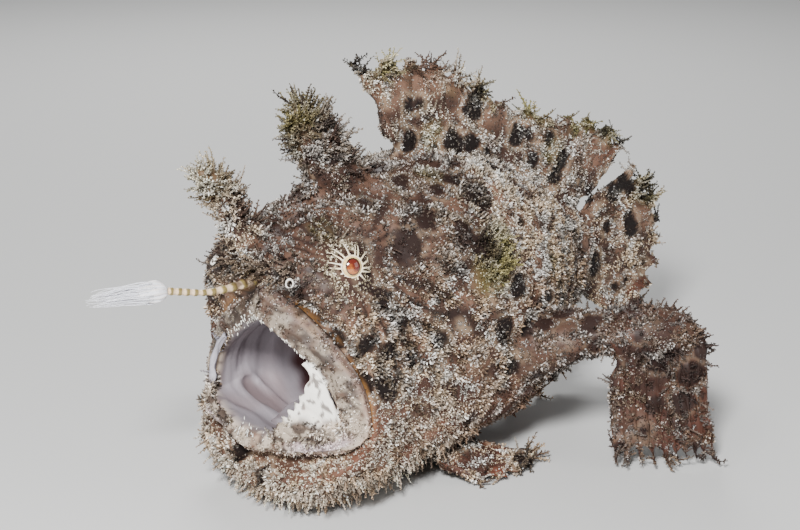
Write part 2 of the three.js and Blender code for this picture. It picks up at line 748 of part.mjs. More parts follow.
// snout and brows
const snout = Array.from({ length: 7 }, (_, i) => [SNOUT_ROW + (i % 2 ? 1.2 : 0.2), mix(0.185, 0.315, (i + 0.5) / 7)]);
plantOnBody(["head"], bodyLocks(snout, 3.8, 2.8, V(-0.5, 0, 0.6)));
for (const turn of [0.345, 0.155]) {
  const brow = [-1.2, 0.3, 1.8].map((step) => [BROW_ROW + step, turn]);
  plantOnBody(["head"], bodyLocks(brow, 3.6, 2.8, V(0.4, 0, 0.8)));
}
// a clump on each side of the back
const CLUMP = { row: 26.1, turn: 0.4, locks: 6 };
for (const flip of [(turn) => turn, (turn) => 0.5 - turn]) {
  const clump = Array.from({ length: CLUMP.locks }, (_, i) => {
    const round = (i / CLUMP.locks) * 2 * Math.PI;
    return [CLUMP.row + 0.75 * Math.cos(round), flip(CLUMP.turn + 0.013 * Math.sin(round))];
  });
  plantOnBody(["torso"], bodyLocks(clump, 4.6, 3.2, V(0.2, 0, 0.9)));
}

const frogfish = new THREE.Group();
for (const [name, { solid, finish }] of Object.entries(pieces)) frogfish.add(named(name, aboveFloor(solid), finish));
const footprint = new THREE.Box3().setFromObject(frogfish).getCenter(V(0, 0, 0));
frogfish.position.set(-footprint.x, -footprint.y, 0);

export default frogfish;
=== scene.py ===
"""A hispid frogfish at life size: one skin with its fins, a coat of forked spinules, tassels, eyes,
open mouth and lure, on a plain floor."""

import bpy
import numpy as np
from mathutils import Matrix, Vector


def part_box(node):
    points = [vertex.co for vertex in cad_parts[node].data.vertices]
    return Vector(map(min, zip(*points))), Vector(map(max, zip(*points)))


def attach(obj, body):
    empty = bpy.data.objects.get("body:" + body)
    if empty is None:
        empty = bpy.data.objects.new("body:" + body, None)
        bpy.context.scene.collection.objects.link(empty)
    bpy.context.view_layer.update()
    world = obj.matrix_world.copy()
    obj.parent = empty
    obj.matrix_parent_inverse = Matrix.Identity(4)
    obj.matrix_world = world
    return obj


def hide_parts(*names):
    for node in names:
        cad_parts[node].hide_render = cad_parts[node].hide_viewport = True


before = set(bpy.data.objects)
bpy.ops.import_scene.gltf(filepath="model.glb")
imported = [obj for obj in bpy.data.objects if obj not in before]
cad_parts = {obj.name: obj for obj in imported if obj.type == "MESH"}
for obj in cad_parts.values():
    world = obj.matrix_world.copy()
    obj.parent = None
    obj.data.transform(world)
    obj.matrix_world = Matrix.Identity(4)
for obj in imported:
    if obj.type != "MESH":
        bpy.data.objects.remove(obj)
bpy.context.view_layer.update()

bl_info = {
    "name": "Frogfish",
    "version": (1, 0, 0),
    "blender": (4, 5, 0),
    "location": "View3D > Sidebar > Frogfish",
    "description": "Dresses the solids of a life-size frogfish with skin, spinules and tassels",
    "category": "Object",
}

MM = 0.001
TAU = 2 * np.pi

# Sizes in millimetres in the fish's own frame: head to -X, its left side to -Y, floor at 0
EYE = np.array([-43.5, -18.6, 58.2])
EYE_RADIUS = 3.1
SOCKET_GAP = 0.08
EYE_AXIS = np.array([-0.36, -0.90, 0.25]) / np.linalg.norm([-0.36, -0.90, 0.25])
ORBIT = EYE + np.array([0.8, 1.85, -0.95])
ORBIT_RADIUS = 4.6
CORNER_X = -46.3
CORNER_Z = 22.0
GAPE_HALF_WIDTH = 27.5
GAPE_TOP = 51.5
LIP_REACH = 7.5
CHIN_REACH = 10.6
PEDUNCLE_X = 56.0
THROAT = np.array([-15.0, 0.0, 27.0])
TAIL_END = np.array([PEDUNCLE_X + 3, 0.0, 37.5])
WIDEST_SHARE = 0.42
ROUND = 0.88
SECTIONS = np.array(
    [
        # x, top, bottom, half width
        [-34, 70, -1, 27.6],
        [-20, 73.5, 1, 30.5],
        [-2, 74.5, 2.6, 30.5],
        [16, 70, 4, 26],
        [32, 62, 10, 17.5],
        [45, 54, 20, 10],
        [PEDUNCLE_X, 48.5, 27, 6],
    ]
)
TRUNK_STATIONS = [-32, -22, -10, 4, 16, 28, 38, 48, PEDUNCLE_X - 0.5]

# From the fish's own frame to the frame of the solids, found from the place of the eyes
low_left, high_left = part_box("eye_left")
low_right, high_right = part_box("eye_right")
EYES_MIDDLE = np.array(low_left + high_left + low_right + high_right) / 4
SHIFT = EYES_MIDDLE - np.array([EYE[0], 0, EYE[2]]) * MM
MIRROR = np.array([1, -1, 1])

# The view of the photo, with the camera's place in millimetres
CAMERA_AZIMUTH = -45.0
CAMERA_ELEVATION = 17.0
CAMERA_PLACE = np.array([-323.3, -314.1, 182.9])
LENS = 88.2
SENSOR = 36.0
PHOTO_WIDTH = 800
PHOTO_HEIGHT = 530

# What a point of the skin belongs to
BODY, FIN, ARM, SECOND_SPINE, THIRD_SPINE, SHEET = 0.0, 1.0, 2.0, 3.0, 4.0, 5.0
# Rows of the body, two to a control ring: the lining ends at the lips' inner edge, then come the
# lips, the groove behind them and the fold behind the groove
LINING_ROW = 6.2
LIP_ROW = 11.2
GROOVE_ROW = 11.7
FOLD_ROW = 12.4
COAT_ROW = 13.0
LAST_ROW = 36.0
ORBIT_ROW = 20.0
# Values that every point of the skin carries: its kind, its row on the body, its share of the way to a
# fin's or limb's tip, and 1 on a fin's ray against 0 between two rays
VALUES = ("kind", "row", "reach", "ridge")


# Curves and noise


def along(table, x, column):
    """A smooth curve through the rows of a table, each run a cubic with the slopes of its neighbours."""
    table = np.asarray(table, float)
    x = np.asarray(x, float)
    last = len(table) - 1
    i = np.clip(np.searchsorted(table[:, 0], x, side="left") - 1, 0, last - 1)
    before = np.maximum(np.arange(last + 1) - 1, 0)
    after = np.minimum(np.arange(last + 1) + 1, last)
    slope = (table[after, column] - table[before, column]) / (table[after, 0] - table[before, 0])
    width = table[i + 1, 0] - table[i, 0]
    t = (x - table[i, 0]) / width
    ends = table[i, column] * (1 - t) ** 2 * (1 + 2 * t) + table[i + 1, column] * t * t * (3 - 2 * t)
    return ends + width * t * (1 - t) * (slope[i] * (1 - t) - slope[i + 1] * t)


def curve(points, t):
    """A centripetal Catmull-Rom curve through points, read at shares t from 0 to 1."""
    p = np.asarray(points, float)
    p = np.concatenate([[2 * p[0] - p[1]], p, [2 * p[-1] - p[-2]]])
    t = np.clip(np.asarray(t, float), 0, 1) * (len(p) - 3)
    k = np.minimum(t.astype(int), len(p) - 4)
    w = (t - k)[..., None]
    a, b, c, d = p[k], p[k + 1], p[k + 2], p[k + 3]
    ab, bc, cd = (np.sqrt(np.linalg.norm(q - r, axis=-1, keepdims=True)) for q, r in ((a, b), (b, c), (c, d)))
    leave = ((b - a) / ab - (c - a) / (ab + bc) + (c - b) / bc) * bc
    reach = ((c - b) / bc - (d - b) / (bc + cd) + (d - c) / cd) * bc
    ends = b * (1 - w) ** 2 * (1 + 2 * w) + c * w * w * (3 - 2 * w)
    return ends + leave * w * (1 - w) ** 2 - reach * w * w * (1 - w)


def smooth_step(low, high, x):
    """0 below low, 1 above high, and a smooth S between them."""
    t = np.clip((np.asarray(x, float) - low) / (high - low), 0, 1)
    return t * t * (3 - 2 * t)


def bell(x, middle, width):
    """1 at the middle, falling off on both sides as exp(-((x - middle) / width) squared)."""
    return np.exp(-(((x - middle) / width) ** 2))


def hashed(cells, seed):
    """A fixed pseudo-random value from 0 to 1 for each whole-number cell."""
    with np.errstate(over="ignore"):
        c = cells.astype(np.int64).astype(np.uint64)
        primes = [np.uint64(n) for n in (73856093, 19349663, 83492791)]
        h = c[..., 0] * primes[0] ^ c[..., 1] * primes[1] ^ c[..., 2] * primes[2]
        h = (h + np.uint64(seed * 2654435761 % 2**32)) * np.uint64(6364136223846793005)
        h = (h ^ (h >> np.uint64(29))) * np.uint64(0xBF58476D1CE4E5B9)
    return ((h >> np.uint64(40)).astype(float)) / 2**24


def noise(points, size, seed=0):
    """Smooth noise from -1 to 1: hashed values at the corners of a lattice, blended in each cell."""
    q = points / size
    cell = np.floor(q)
    f = q - cell
    f = f * f * (3 - 2 * f)
    total = 0.0
    for dx in (0, 1):
        for dy in (0, 1):
            for dz in (0, 1):
                step = np.array([dx, dy, dz])
                weight = np.prod(np.where(step, f, 1 - f), axis=-1)
                total = total + weight * hashed(cell + step, seed)
    return 2 * total - 1


def spot_field(points, size, seed, low=0.18, high=0.42):
    """Distance to the edge of the nearest of many scattered round spots, in shares of size: below 0
    inside a spot. Each lattice cell holds one spot at a hashed place and of a hashed radius."""
    q = points / size
    cell = np.floor(q)
    nearest = np.full(len(points), 9.0)
    for dx in (-1, 0, 1):
        for dy in (-1, 0, 1):
            for dz in (-1, 0, 1):
                there = cell + np.array([dx, dy, dz])
                centre = there + np.stack([hashed(there, seed + s) for s in (1, 2, 3)], axis=-1)
                radius = low + (high - low) * hashed(there, seed + 4)
                nearest = np.minimum(nearest, np.linalg.norm(q - centre, axis=-1) - radius)
    return nearest


def unit(v):
    """Each vector at length 1."""
    return v / np.maximum(np.linalg.norm(v, axis=-1, keepdims=True), 1e-9)


def view_axes():
    """The photo camera's right, up and back directions."""
    a, e = np.radians([CAMERA_AZIMUTH, CAMERA_ELEVATION])
    back = np.array([np.sin(a) * np.cos(e), -np.cos(a) * np.cos(e), np.sin(e)])
    right = np.array([np.cos(a), np.sin(a), 0.0])
    return right, np.cross(back, right), back


def seen_at(pixels, like, behind):
    """Places that the photo shows at the given pixels, each as far from the camera as a point of like
    and a little behind it: camera + right x depth + up y depth - back depth."""
    right, up, back = view_axes()
    depth = ((CAMERA_PLACE - like) @ back + behind)[:, None]
    pixels_to_slope = SENSOR / LENS / PHOTO_WIDTH
    x, y = (np.array(pixels) - [PHOTO_WIDTH / 2, PHOTO_HEIGHT / 2]).T * pixels_to_slope
    return CAMERA_PLACE + depth * (right * x[:, None] - up * y[:, None] - back)


# The body's surface


def ring(turn, x, level, width, rise, drop, top=0.0, bottom=None, square=ROUND, low_square=None, bow=1):
    """One ring round the body: a rounded oval in y and z whose top and bottom are pulled forward. A
    square above 1 makes it a pointed arch, and a bow above 1 leaves its upper corners further back."""
    up, out = np.sin(TAU * turn), np.cos(TAU * turn)
    share = np.abs(up)
    above = up > 0
    bottom = top if bottom is None else bottom
    low_square = max(square, ROUND) if low_square is None else low_square
    power = np.where(above, square, low_square)
    return np.stack(
        [
            x - np.where(above, top * share**bow, bottom * share),
            width * np.sign(out) * np.abs(out) ** power,
            level + np.where(above, rise, -drop) * share**0.85,
        ],
        axis=-1,
    )


def section(turn, x):
    """The trunk's ring at x, read from the table of sections."""
    top, bottom, width = (float(along(SECTIONS, x, c)) for c in (1, 2, 3))
    level = bottom + (top - bottom) * WIDEST_SHARE
    return ring(turn, x, level, width, top - level, level - bottom)


def control_rings(turn):
    """The rings that the body's surface passes through, from the throat over the lips to the tail."""
    x, z, width, rise = CORNER_X, CORNER_Z, GAPE_HALF_WIDTH, GAPE_TOP - CORNER_Z

    def arch(*sizes):
        return ring(turn, *sizes, square=2.2, low_square=1.7, bow=2)

    mouth = [
        ring(turn, -19, 26, 8, 9, 6),
        ring(turn, -28, 25, 15, 14.5, 9),
        ring(turn, -38, 23.5, 19.5, 19, 8, 1, square=1.3),
        arch(x - 1.7, z - 0.5, width - 7, rise - 7, 2.8, LIP_REACH - 2.5, CHIN_REACH - 3.6),
        arch(x - 3.2, z - 0.5, width - 3, rise - 2.5, 6, LIP_REACH - 0.5, CHIN_REACH - 1.1),
        arch(x, z, width, rise, 8.5, LIP_REACH, CHIN_REACH),
        arch(x + 2.3, z, width - 0.9, rise + 1.1, 9.5, LIP_REACH, CHIN_REACH),
        ring(turn, x + 1.8, z + 0.5, width + 1.1, 34, 13, 12, 14, square=0.8, bow=2),
        ring(turn, -41, 25, 28.8, 38.6, 23, 12.5, 14, square=0.9),
        ring(turn, -38, 28, 28.6, 40, 29.5, 5, 5, square=0.95),
    ]
    return np.stack(mouth + [section(turn, x) for x in TRUNK_STATIONS])


def on_body(row, turn):
    """Points of the body for rows counted from the throat, two to a control ring, and turns round it.
    Along a row number each point follows the Catmull-Rom curve through the control rings."""
    row, turn = np.broadcast_arrays(np.asarray(row, float), np.asarray(turn, float))
    rings = control_rings(turn.ravel())
    last = len(rings) - 1
    s = np.clip(row.ravel() / 2, 0, last)
    k = np.minimum(s.astype(int), last - 1)
    t = (s - k)[:, None]
    i = np.arange(len(s))
    p, q = rings[k, i], rings[k + 1, i]
    leave = (q - rings[np.maximum(k - 1, 0), i]) / 2
    reach = (rings[np.minimum(k + 2, last), i] - p) / 2
    points = p * (1 - t) ** 2 * (1 + 2 * t) + q * t * t * (3 - 2 * t)
    points = points + leave * t * (1 - t) ** 2 - reach * t * t * (1 - t)
    return points.reshape(*row.shape, 3)


# Meshes


def new_object(name, points, faces, uv=None, values=None, tint=None, smooth=True):
    """An object from points in millimetres and arrays of faces, with its map and attributes."""
    mesh = bpy.data.meshes.new(name)
    placed = points * MM + SHIFT
    mesh.vertices.add(len(placed))
    mesh.vertices.foreach_set("co", placed.astype(np.float32).ravel())
    corners = np.concatenate([f.ravel() for f in faces])
    sizes = np.concatenate([np.full(len(f), f.shape[1]) for f in faces])
    mesh.loops.add(len(corners))
    mesh.loops.foreach_set("vertex_index", corners.astype(np.int32))
    mesh.polygons.add(len(sizes))
    mesh.polygons.foreach_set("loop_start", (np.cumsum(sizes) - sizes).astype(np.int32))
    mesh.polygons.foreach_set("use_smooth", np.full(len(sizes), smooth))
    mesh.update(calc_edges=True)
    if uv is not None:
        flat = np.concatenate([u.reshape(-1, 2) for u in uv])
        mesh.uv_layers.new(name="OFBake").data.foreach_set("uv", flat.astype(np.float32).ravel())
    for key, value in (values or {}).items():
        add_values(mesh, key, np.broadcast_to(value, len(points)))
    if tint is not None:
        add_tint(mesh, tint)
    obj = bpy.data.objects.new(name, mesh)
    bpy.context.scene.collection.objects.link(obj)
    return obj


def add_values(mesh, key, value):
    """Sets one value for each point of a mesh."""
    layer = mesh.attributes.get(key) or mesh.attributes.new(key, "FLOAT", "POINT")
    layer.data.foreach_set("value", np.asarray(value, np.float32))


def add_tint(mesh, tint):
    """Sets the colour of each point of a mesh."""
    layer = mesh.attributes.get("tint") or mesh.attributes.new("tint", "FLOAT_COLOR", "POINT")
    colour = np.concatenate([tint, np.ones((len(tint), 1))], axis=1)
    layer.data.foreach_set("color", colour.astype(np.float32).ravel())


def read(mesh, key):
    """One value for each point of a mesh."""
    out = np.zeros(len(mesh.attributes[key].data), np.float32)
    mesh.attributes[key].data.foreach_get("value", out)
    return out.astype(float)


def edge_ends(mesh):
    """The two ends of every edge, as two arrays of vertex numbers."""
    ends = np.zeros(len(mesh.edges) * 2, np.int32)
    mesh.edges.foreach_get("vertices", ends)
    return ends.reshape(-1, 2).T


def place_vertices(mesh, places):
    """Moves the vertices to places in millimetres in the fish's frame."""
    mesh.vertices.foreach_set("co", (places * MM + SHIFT).astype(np.float32).ravel())
    mesh.update()


def vertex_places(mesh):
    """The vertices' places in millimetres in the fish's frame."""
    co = np.zeros(len(mesh.vertices) * 3, np.float32)
    mesh.vertices.foreach_get("co", co)
    return (co.reshape(-1, 3).astype(float) - SHIFT) / MM


def vertex_normals(mesh):
    """The outward direction at each vertex."""
    normals = np.zeros(len(mesh.vertices) * 3, np.float32)
    mesh.vertex_normals.foreach_get("vector", normals)
    return normals.reshape(-1, 3).astype(float)


def quads(rows, columns, wrap=False):
    """Faces of a grid of rows by columns of points, closed round if wrap, with their grid places."""
    j, i = np.meshgrid(np.arange(rows - 1), np.arange(columns if wrap else columns - 1), indexing="ij")
    j, i = j.ravel(), i.ravel()
    places = np.stack([np.stack([j, j, j + 1, j + 1], 1), np.stack([i, i + 1, i + 1, i], 1)], -1)
    index = places[..., 0] * columns + places[..., 1] % columns
    return index, places


def patch(places, rows, columns, corner, size):
    """Map places for grid corners, in a rectangle of the unwrap."""
    u = corner[0] + size[0] * places[..., 1] / columns
    v = corner[1] + size[1] * places[..., 0] / rows
    return np.stack([u, v], -1)


def closed_tube(rings, ends, corner, size):
    """Rings of points closed by a pole at each end: its points, faces and map."""
    rows, columns = rings.shape[:2]
    points = np.concatenate([rings.reshape(-1, 3), ends])
    index, places = quads(rows, columns, wrap=True)
    i = np.arange(columns)
    n = rows * columns
    caps = [
        np.stack([np.full(columns, n), (i + 1) % columns, i], 1),
        np.stack([np.full(columns, n + 1), n - columns + i, n - columns + (i + 1) % columns], 1),
    ]
    cap_places = [
        np.stack([np.zeros((columns, 3)), np.stack([i + 0.5, i + 1, i], 1)], -1),
        np.stack([np.full((columns, 3), rows - 1), np.stack([i + 0.5, i, i + 1], 1)], -1),
    ]
    uv = [patch(p, rows - 1, columns, corner, size) for p in (places, *cap_places)]
    return points, [index, *caps], uv


def tidy_normals(obj):
    """Merges doubles and turns every face outwards."""
    bpy.ops.object.select_all(action="DESELECT")
    bpy.context.view_layer.objects.active = obj
    obj.select_set(True)
    bpy.ops.object.mode_set(mode="EDIT")
    bpy.ops.mesh.select_all(action="SELECT")
    bpy.ops.mesh.remove_doubles(threshold=1e-6)
    bpy.ops.mesh.normals_make_consistent(inside=False)
    bpy.ops.object.mode_set(mode="OBJECT")
    return obj


# The pieces of the skin

FINS = {
    "dorsal": {
        "root": [(-11, 0, 70), (18, 0, 64), (52, 0, 47)],
        "tip": [(-26, 0, 99), (-7, 0, 98), (9, 0, 92), (27, 0, 82), (44, 0, 75.5), (60, 0, 73), (75, 0, 64)],
        "rays": 13,
        "bow": (3, 0, 0),
        "web": 0.9,
        "ray": 1.9,
        "flesh": 3.6,
        "patch": ((0.0, 0.64), (0.24, 0.11)),
    },
    "caudal": {
        "root": [(52, 0, 47), (56, 0, 37.5), (52, 0, 28)],
        "tip": [(80, 0, 57), (90.5, 0, 45), (92.5, 0, 33), (90, 0, 20), (82, 0, 11)],
        "rays": 9,
        "bow": (0, 0, 0),
        "web": 0.9,
        "ray": 1.9,
        "flesh": 2.6,
        "patch": ((0.26, 0.64), (0.14, 0.11)),
    },
    "anal": {
        "root": [(20, 0, 9), (33, 0, 15), (46, 0, 24)],
        "tip": [(30, 0, 0.9), (43, 0, 1.2), (54, 0, 4.5), (60, 0, 10)],
        "rays": 7,
        "bow": (0, 0, 0),
        "web": 0.9,
        "ray": 1.7,
        "flesh": 2,
        "patch": ((0.42, 0.64), (0.12, 0.11)),
    },
    "hand": {
        "root": [(20, -42, 31), (28, -50, 33), (36, -57, 31)],
        "tip": [(18.5, -45, 0.8), (28, -55, 0.8), (37, -60.5, 0.8)],
        "rays": 10,
        "bow": (-0.4, 1.2, 0),
        "web": 1.3,
        "ray": 2.5,
        "flesh": 4,
        "patch": ((0.56, 0.64), (0.14, 0.11)),
    },
    "foot": {
        "root": [(-20, -14, 6), (-14, -14, 7.5), (-8, -13, 7)],
        "tip": [(-12, -30.5, 1), (0, -33.5, 1), (9, -28.5, 1)],
        "rays": 5,
        "bow": (0, 0, 0.6),
        "web": 1.3,
        "ray": 2.3,
        "flesh": 2,
        "patch": ((0.86, 0.64), (0.12, 0.11)),
    },
}
LIMBS = {
    "arm": {
        "path": [(6, -20, 27), (14, -31, 30.5), (22, -41, 32.5), (29.5, -50, 33), (36, -56, 29.5)],
        "radii": [[0, 10, 12], [0.35, 5.8, 7.4], [0.6, 5.4, 6.7], [0.8, 4.9, 5.4], [1, 2.8, 3]],
        "side": (0, 0, 1),
        "kind": ARM,
        "patch": ((0.0, 0.89), (0.24, 0.1)),
    },
    "second_spine": {
        "path": [(-48.5, 0, 58.5), (-58, 0, 66), (-63, 0, 74), (-68.5, 0, 80)],
        "radii": [[0, 3.4, 5], [0.4, 2.3, 3.4], [0.75, 1.6, 2.3], [1, 1, 1.3]],
        "side": (0, 1, 0),
        "kind": SECOND_SPINE,
        "patch": ((0.5, 0.89), (0.2, 0.1)),
    },
    "third_spine": {
        "path": [(-24, 0, 63), (-31, 0, 75), (-37, 0, 84), (-41.5, 0, 91)],
        "radii": [[0, 5, 10.4], [0.35, 4, 8], [0.75, 3, 4.7], [1, 1.8, 2.3]],
        "side": (0, 1, 0),
        "kind": THIRD_SPINE,
        "patch": ((0.72, 0.89), (0.24, 0.1)),
    },
}
COLUMNS_PER_RAY = 8
FIN_ROWS = 40
# Steps in the map from a fin's one face to its other, and from the left fin or limb to the right one
BACK_FACE_STEP = 0.125
RIGHT_FIN_STEP = 0.145
RIGHT_LIMB_STEP = 0.25


def fin_object(name, spec, flip):
    """A fin as a closed slab: each ray runs straight or bowed from the root line to the tip line, and
    the half thickness is that of the web, raised to the ray's by a cosine comb, plus the flesh at the
    root. The edge is notched between the rays and ragged by noise."""
    columns = (spec["rays"] - 1) * COLUMNS_PER_RAY + 1
    u, v = np.meshgrid(np.linspace(0, 1, columns), np.linspace(0, 1, FIN_ROWS))

    def at(u, v):
        comb = 0.5 + 0.5 * np.cos(TAU * u * (spec["rays"] - 1))
        ragged = noise(np.stack([u * 60, u * 0, u * 0], -1), 1.0, 5)
        reach = v * (1 - 0.12 * (1 - comb) - 0.03 * (1 + ragged))
        root, tip = curve(spec["root"], u), curve(spec["tip"], u)
        bow = np.array(spec["bow"], float) * (4 * reach * (1 - reach))[..., None]
        return root + (tip - root) * reach[..., None] + bow, comb

    step = 1e-3
    centre, comb = at(u, v)
    across = at(np.minimum(u + step, 1), v)[0] - at(np.maximum(u - step, 0), v)[0]
    outward = at(u, np.minimum(v + step, 1))[0] - at(u, np.maximum(v - step, 0))[0]
    facing = unit(np.cross(across, outward))
    rim = np.sqrt(np.clip(1 - np.abs(2 * v - 1) ** 24, 0.05, 1))
    half = spec["web"] + (spec["ray"] - spec["web"]) * comb**3
    half = (half * (1 - 0.5 * v) + spec["flesh"] * (1 - v) ** 2) / 2 * rim
    sides = [centre + facing * half[..., None], centre - facing * half[..., None]]
    points = np.concatenate([s.reshape(-1, 3) for s in sides])
    if flip:
        points = points * MIRROR
    front, places = quads(FIN_ROWS, columns)
    back = front[:, ::-1] + FIN_ROWS * columns
    n = FIN_ROWS * columns
    edge = np.concatenate(
        [
            np.arange(columns),
            np.arange(1, FIN_ROWS) * columns + columns - 1,
            (FIN_ROWS - 1) * columns + np.arange(columns - 2, -1, -1),
            np.arange(FIN_ROWS - 2, 0, -1) * columns,
        ]
    )
    following = np.roll(edge, -1)
    rim_faces = np.stack([following, edge, edge + n, following + n], 1)
    corner, size = spec["patch"]
    corner = np.array(corner) + (RIGHT_FIN_STEP if flip else 0, 0)
    uv_front = patch(places, FIN_ROWS, columns, corner, size)
    uv_back = patch(places, FIN_ROWS, columns, corner + (0, BACK_FACE_STEP), size)[:, ::-1]
    rim_uv = np.zeros((len(edge), 4, 2)) + corner
    reach = np.tile(v.ravel(), 2)
    ridge = np.tile(comb.ravel(), 2)
    obj = new_object(
        name,
        points,
        [front, back, rim_faces],
        [uv_front, uv_back, rim_uv],
        {"kind": spec.get("kind", FIN), "row": LAST_ROW, "reach": reach, "ridge": ridge},
    )
    return tidy_normals(obj)


def limb_points(spec, t, turn):
    """A limb's surface: an ellipse round each point of its path, with half axes from its table."""
    centre = curve(spec["path"], t)
    ahead, behind = np.minimum(t + 1e-3, 1), np.maximum(t - 1e-3, 0)
    forward = unit(curve(spec["path"], ahead) - curve(spec["path"], behind))
    high = unit(np.cross(forward, np.array(spec["side"], float)))
    wide = unit(np.cross(high, forward))
    a, b = along(spec["radii"], t, 1), along(spec["radii"], t, 2)
    return centre + wide * (a * np.cos(turn))[..., None] + high * (b * np.sin(turn))[..., None]


def limb_object(name, spec, flip, rows=60, columns=64):
    """A limb as a closed tube whose last tenth narrows to a dome."""
    t, turn = np.meshgrid(np.linspace(0, 1, rows), np.arange(columns) / columns * TAU, indexing="ij")
    rings = limb_points(spec, t, turn)
    forward = unit(curve(spec["path"], [0, 1]) - curve(spec["path"], [0.01, 0.99]))
    ends = curve(spec["path"], [0, 1]) + forward * 1.5
    dome = 1 - 0.45 * smooth_step(0.9, 1, t)[..., None]
    middle = curve(spec["path"], t)
    rings = middle + (rings - middle) * dome
    if flip:
        rings, ends = rings * MIRROR, ends * MIRROR
    corner, size = spec["patch"]
    corner = np.array(corner) + (RIGHT_LIMB_STEP if flip else 0, 0)
    points, faces, uv = closed_tube(rings, ends, corner, size)
    reach = np.concatenate([t.ravel(), [0, 1]])
    values = {"kind": spec["kind"], "row": LAST_ROW, "reach": reach, "ridge": 0.0}
    return tidy_normals(new_object(name, points, faces, uv, values))


def body_object(columns=208, spacing=0.92):
    """The body's grid, its columns round it and its rows spaced evenly along the longest of its top,
    side and bottom lines."""
    fine = np.linspace(0, LAST_ROW, 721)
    lines = [on_body(fine, turn) for turn in (0.25, 0.5, 0.75)]
    steps = np.max([np.linalg.norm(np.diff(line, axis=0), axis=1) for line in lines], axis=0)
    length = np.concatenate([[0], np.cumsum(steps)])
    count = int(length[-1] / spacing)
    rows = np.interp(np.linspace(0, length[-1], count), length, fine)
    row, turn = np.meshgrid(rows, np.arange(columns) / columns, indexing="ij")
    rings = on_body(row, turn)
    points, faces, uv = closed_tube(rings, np.stack([THROAT, TAIL_END]), (0.0, 0.0), (1.0, 0.62))
    values = {
        "kind": BODY,
        "row": np.concatenate([row.ravel(), [0, LAST_ROW]]),
        "reach": 0.0,
        "ridge": 0.0,
    }
    return tidy_normals(new_object("skin", points, faces, uv, values))


# The sheet of skin in the near corner of the gape: where it is rooted round the lips, the pixels of its
# free edge in the photo, and how far in millimetres that edge lies behind its root in the view
SHEET_TURNS = (0.40, 0.43, 0.47, 0.50, 0.53, 0.57, 0.62, 0.66)
SHEET_EDGE_PIXELS = (
    (308, 365),
    (311, 373),
    (302.75, 388),
    (296, 398),
    (290, 406),
    (284, 414),
    (280.2, 420.8),
    (275.2, 436.9),
)
SHEET_BEHIND = 1.49
FAR_SHEET_SHARE = 0.3


def sheet_spec(share):
    """The sheet of skin in a corner of the gape, from the inner edge of the upper lip to that of the
    lower one, as a fin that is rooted along the lips and reaches a share of the way to its edge."""
    root = on_body(np.full(len(SHEET_TURNS), LINING_ROW + 0.5), np.array(SHEET_TURNS))
    edge = np.round(seen_at(SHEET_EDGE_PIXELS, root, SHEET_BEHIND), 1)
    return {
        "root": root,
        "tip": root + (edge - root) * share,
        "rays": 9,
        "bow": (-1.2, 0, 0.4),
        "web": 0.8,
        "ray": 1.1,
        "flesh": 0.8,
        "kind": SHEET,
        "patch": ((0.0, 0.99), (0.1, 0.005)),
    }


def ball_points(centre, radius, rows=32, columns=48):
    """A sphere as rings from its lower to its upper pole."""
    polar = np.linspace(0.02, 0.98, rows) * np.pi
    a, b = np.meshgrid(polar, np.arange(columns) / columns * TAU, indexing="ij")
    rings = np.stack([np.sin(a) * np.cos(b), np.sin(a) * np.sin(b), -np.cos(a)], -1) * radius + centre
    ends = centre + np.array([[0, 0, -radius], [0, 0, radius]])
    return rings, ends


def ball_object(name, centre, radius):
    """A ball that is joined to the body or cut from it at an eye."""
    points, faces, uv = closed_tube(*ball_points(centre, radius), (0.98, 0.8), (0.01, 0.01))
    values = {"kind": BODY, "row": ORBIT_ROW, "reach": 0.0, "ridge": 0.0}
    return tidy_normals(new_object(name, points, faces, uv, values))


def combine(target, other, operation):
    """Joins other to target, or cuts it away, and removes it."""
    modifier = target.modifiers.new("combine", "BOOLEAN")
    modifier.solver = "MANIFOLD"
    modifier.operation = operation
    modifier.object = other
    bpy.context.view_layer.objects.active = target
    bpy.ops.object.modifier_apply(modifier=modifier.name)
    bpy.data.objects.remove(other)


def fill_values(mesh, rounds=4):
    """Gives the points that a join has made, which have no values, the greatest of their neighbours'."""
    a, b = edge_ends(mesh)
    values = {key: read(mesh, key) for key in VALUES}
    near_throat = np.linalg.norm(vertex_places(mesh) - THROAT, axis=1) < 1
    for _ in range(rounds):
        empty = (values["row"] < 0.01) & ~near_throat
        for key, value in values.items():
            best = value.copy()
            np.maximum.at(best, a, value[b])
            np.maximum.at(best, b, value[a])
            value[empty] = best[empty]
    for key, value in values.items():
        add_values(mesh, key, value)


def smooth_joins(mesh, rounds=12, spread=5):
    """Evens the skin where two kinds of it meet: each marked point moves half way to the mean of its
    neighbours, several times."""
    kind = read(mesh, "kind")
    a, b = edge_ends(mesh)
    marked = np.zeros(len(kind), bool)
    crossing = np.abs(kind[a] - kind[b]) > 0.2
    marked[a[crossing]] = marked[b[crossing]] = True
    for _ in range(spread):
        touched = marked[a] | marked[b]
        marked[a[touched]] = marked[b[touched]] = True
    places = vertex_places(mesh)
    n = len(kind)
    count = np.bincount(a, minlength=n) + np.bincount(b, minlength=n)
    for _ in range(rounds):
        total = np.zeros_like(places)
        for axis in range(3):
            total[:, axis] = np.bincount(a, places[b, axis], n) + np.bincount(b, places[a, axis], n)
        mean = total / np.maximum(count, 1)[:, None]
        places[marked] += 0.5 * (mean - places)[marked]
    place_vertices(mesh, places)


# Colours and relief of the skin, shared with the coat

# Large dark spots: place and radius
BIG_SPOTS = [
    ((-3, -19, 67), 5.0),
    ((60, 0, 52), 2.8),
    ((70, 0, 50), 3.2),
    ((77, 0, 50), 2.4),
    ((4, -28, 35), 2.4),
    ((-2, -29, 27), 2.6),
    ((-14, -28, 17), 2.6),
    ((-18, -27, 30), 2.2),
    ((27, -53, 30), 2.6),
    ((25, -51, 16), 2.6),
]
# The olive clump on the left flank
CLUMP = np.array([-6.0, -28.0, 54.0])
STREAKS_ROUND_EYE = 29


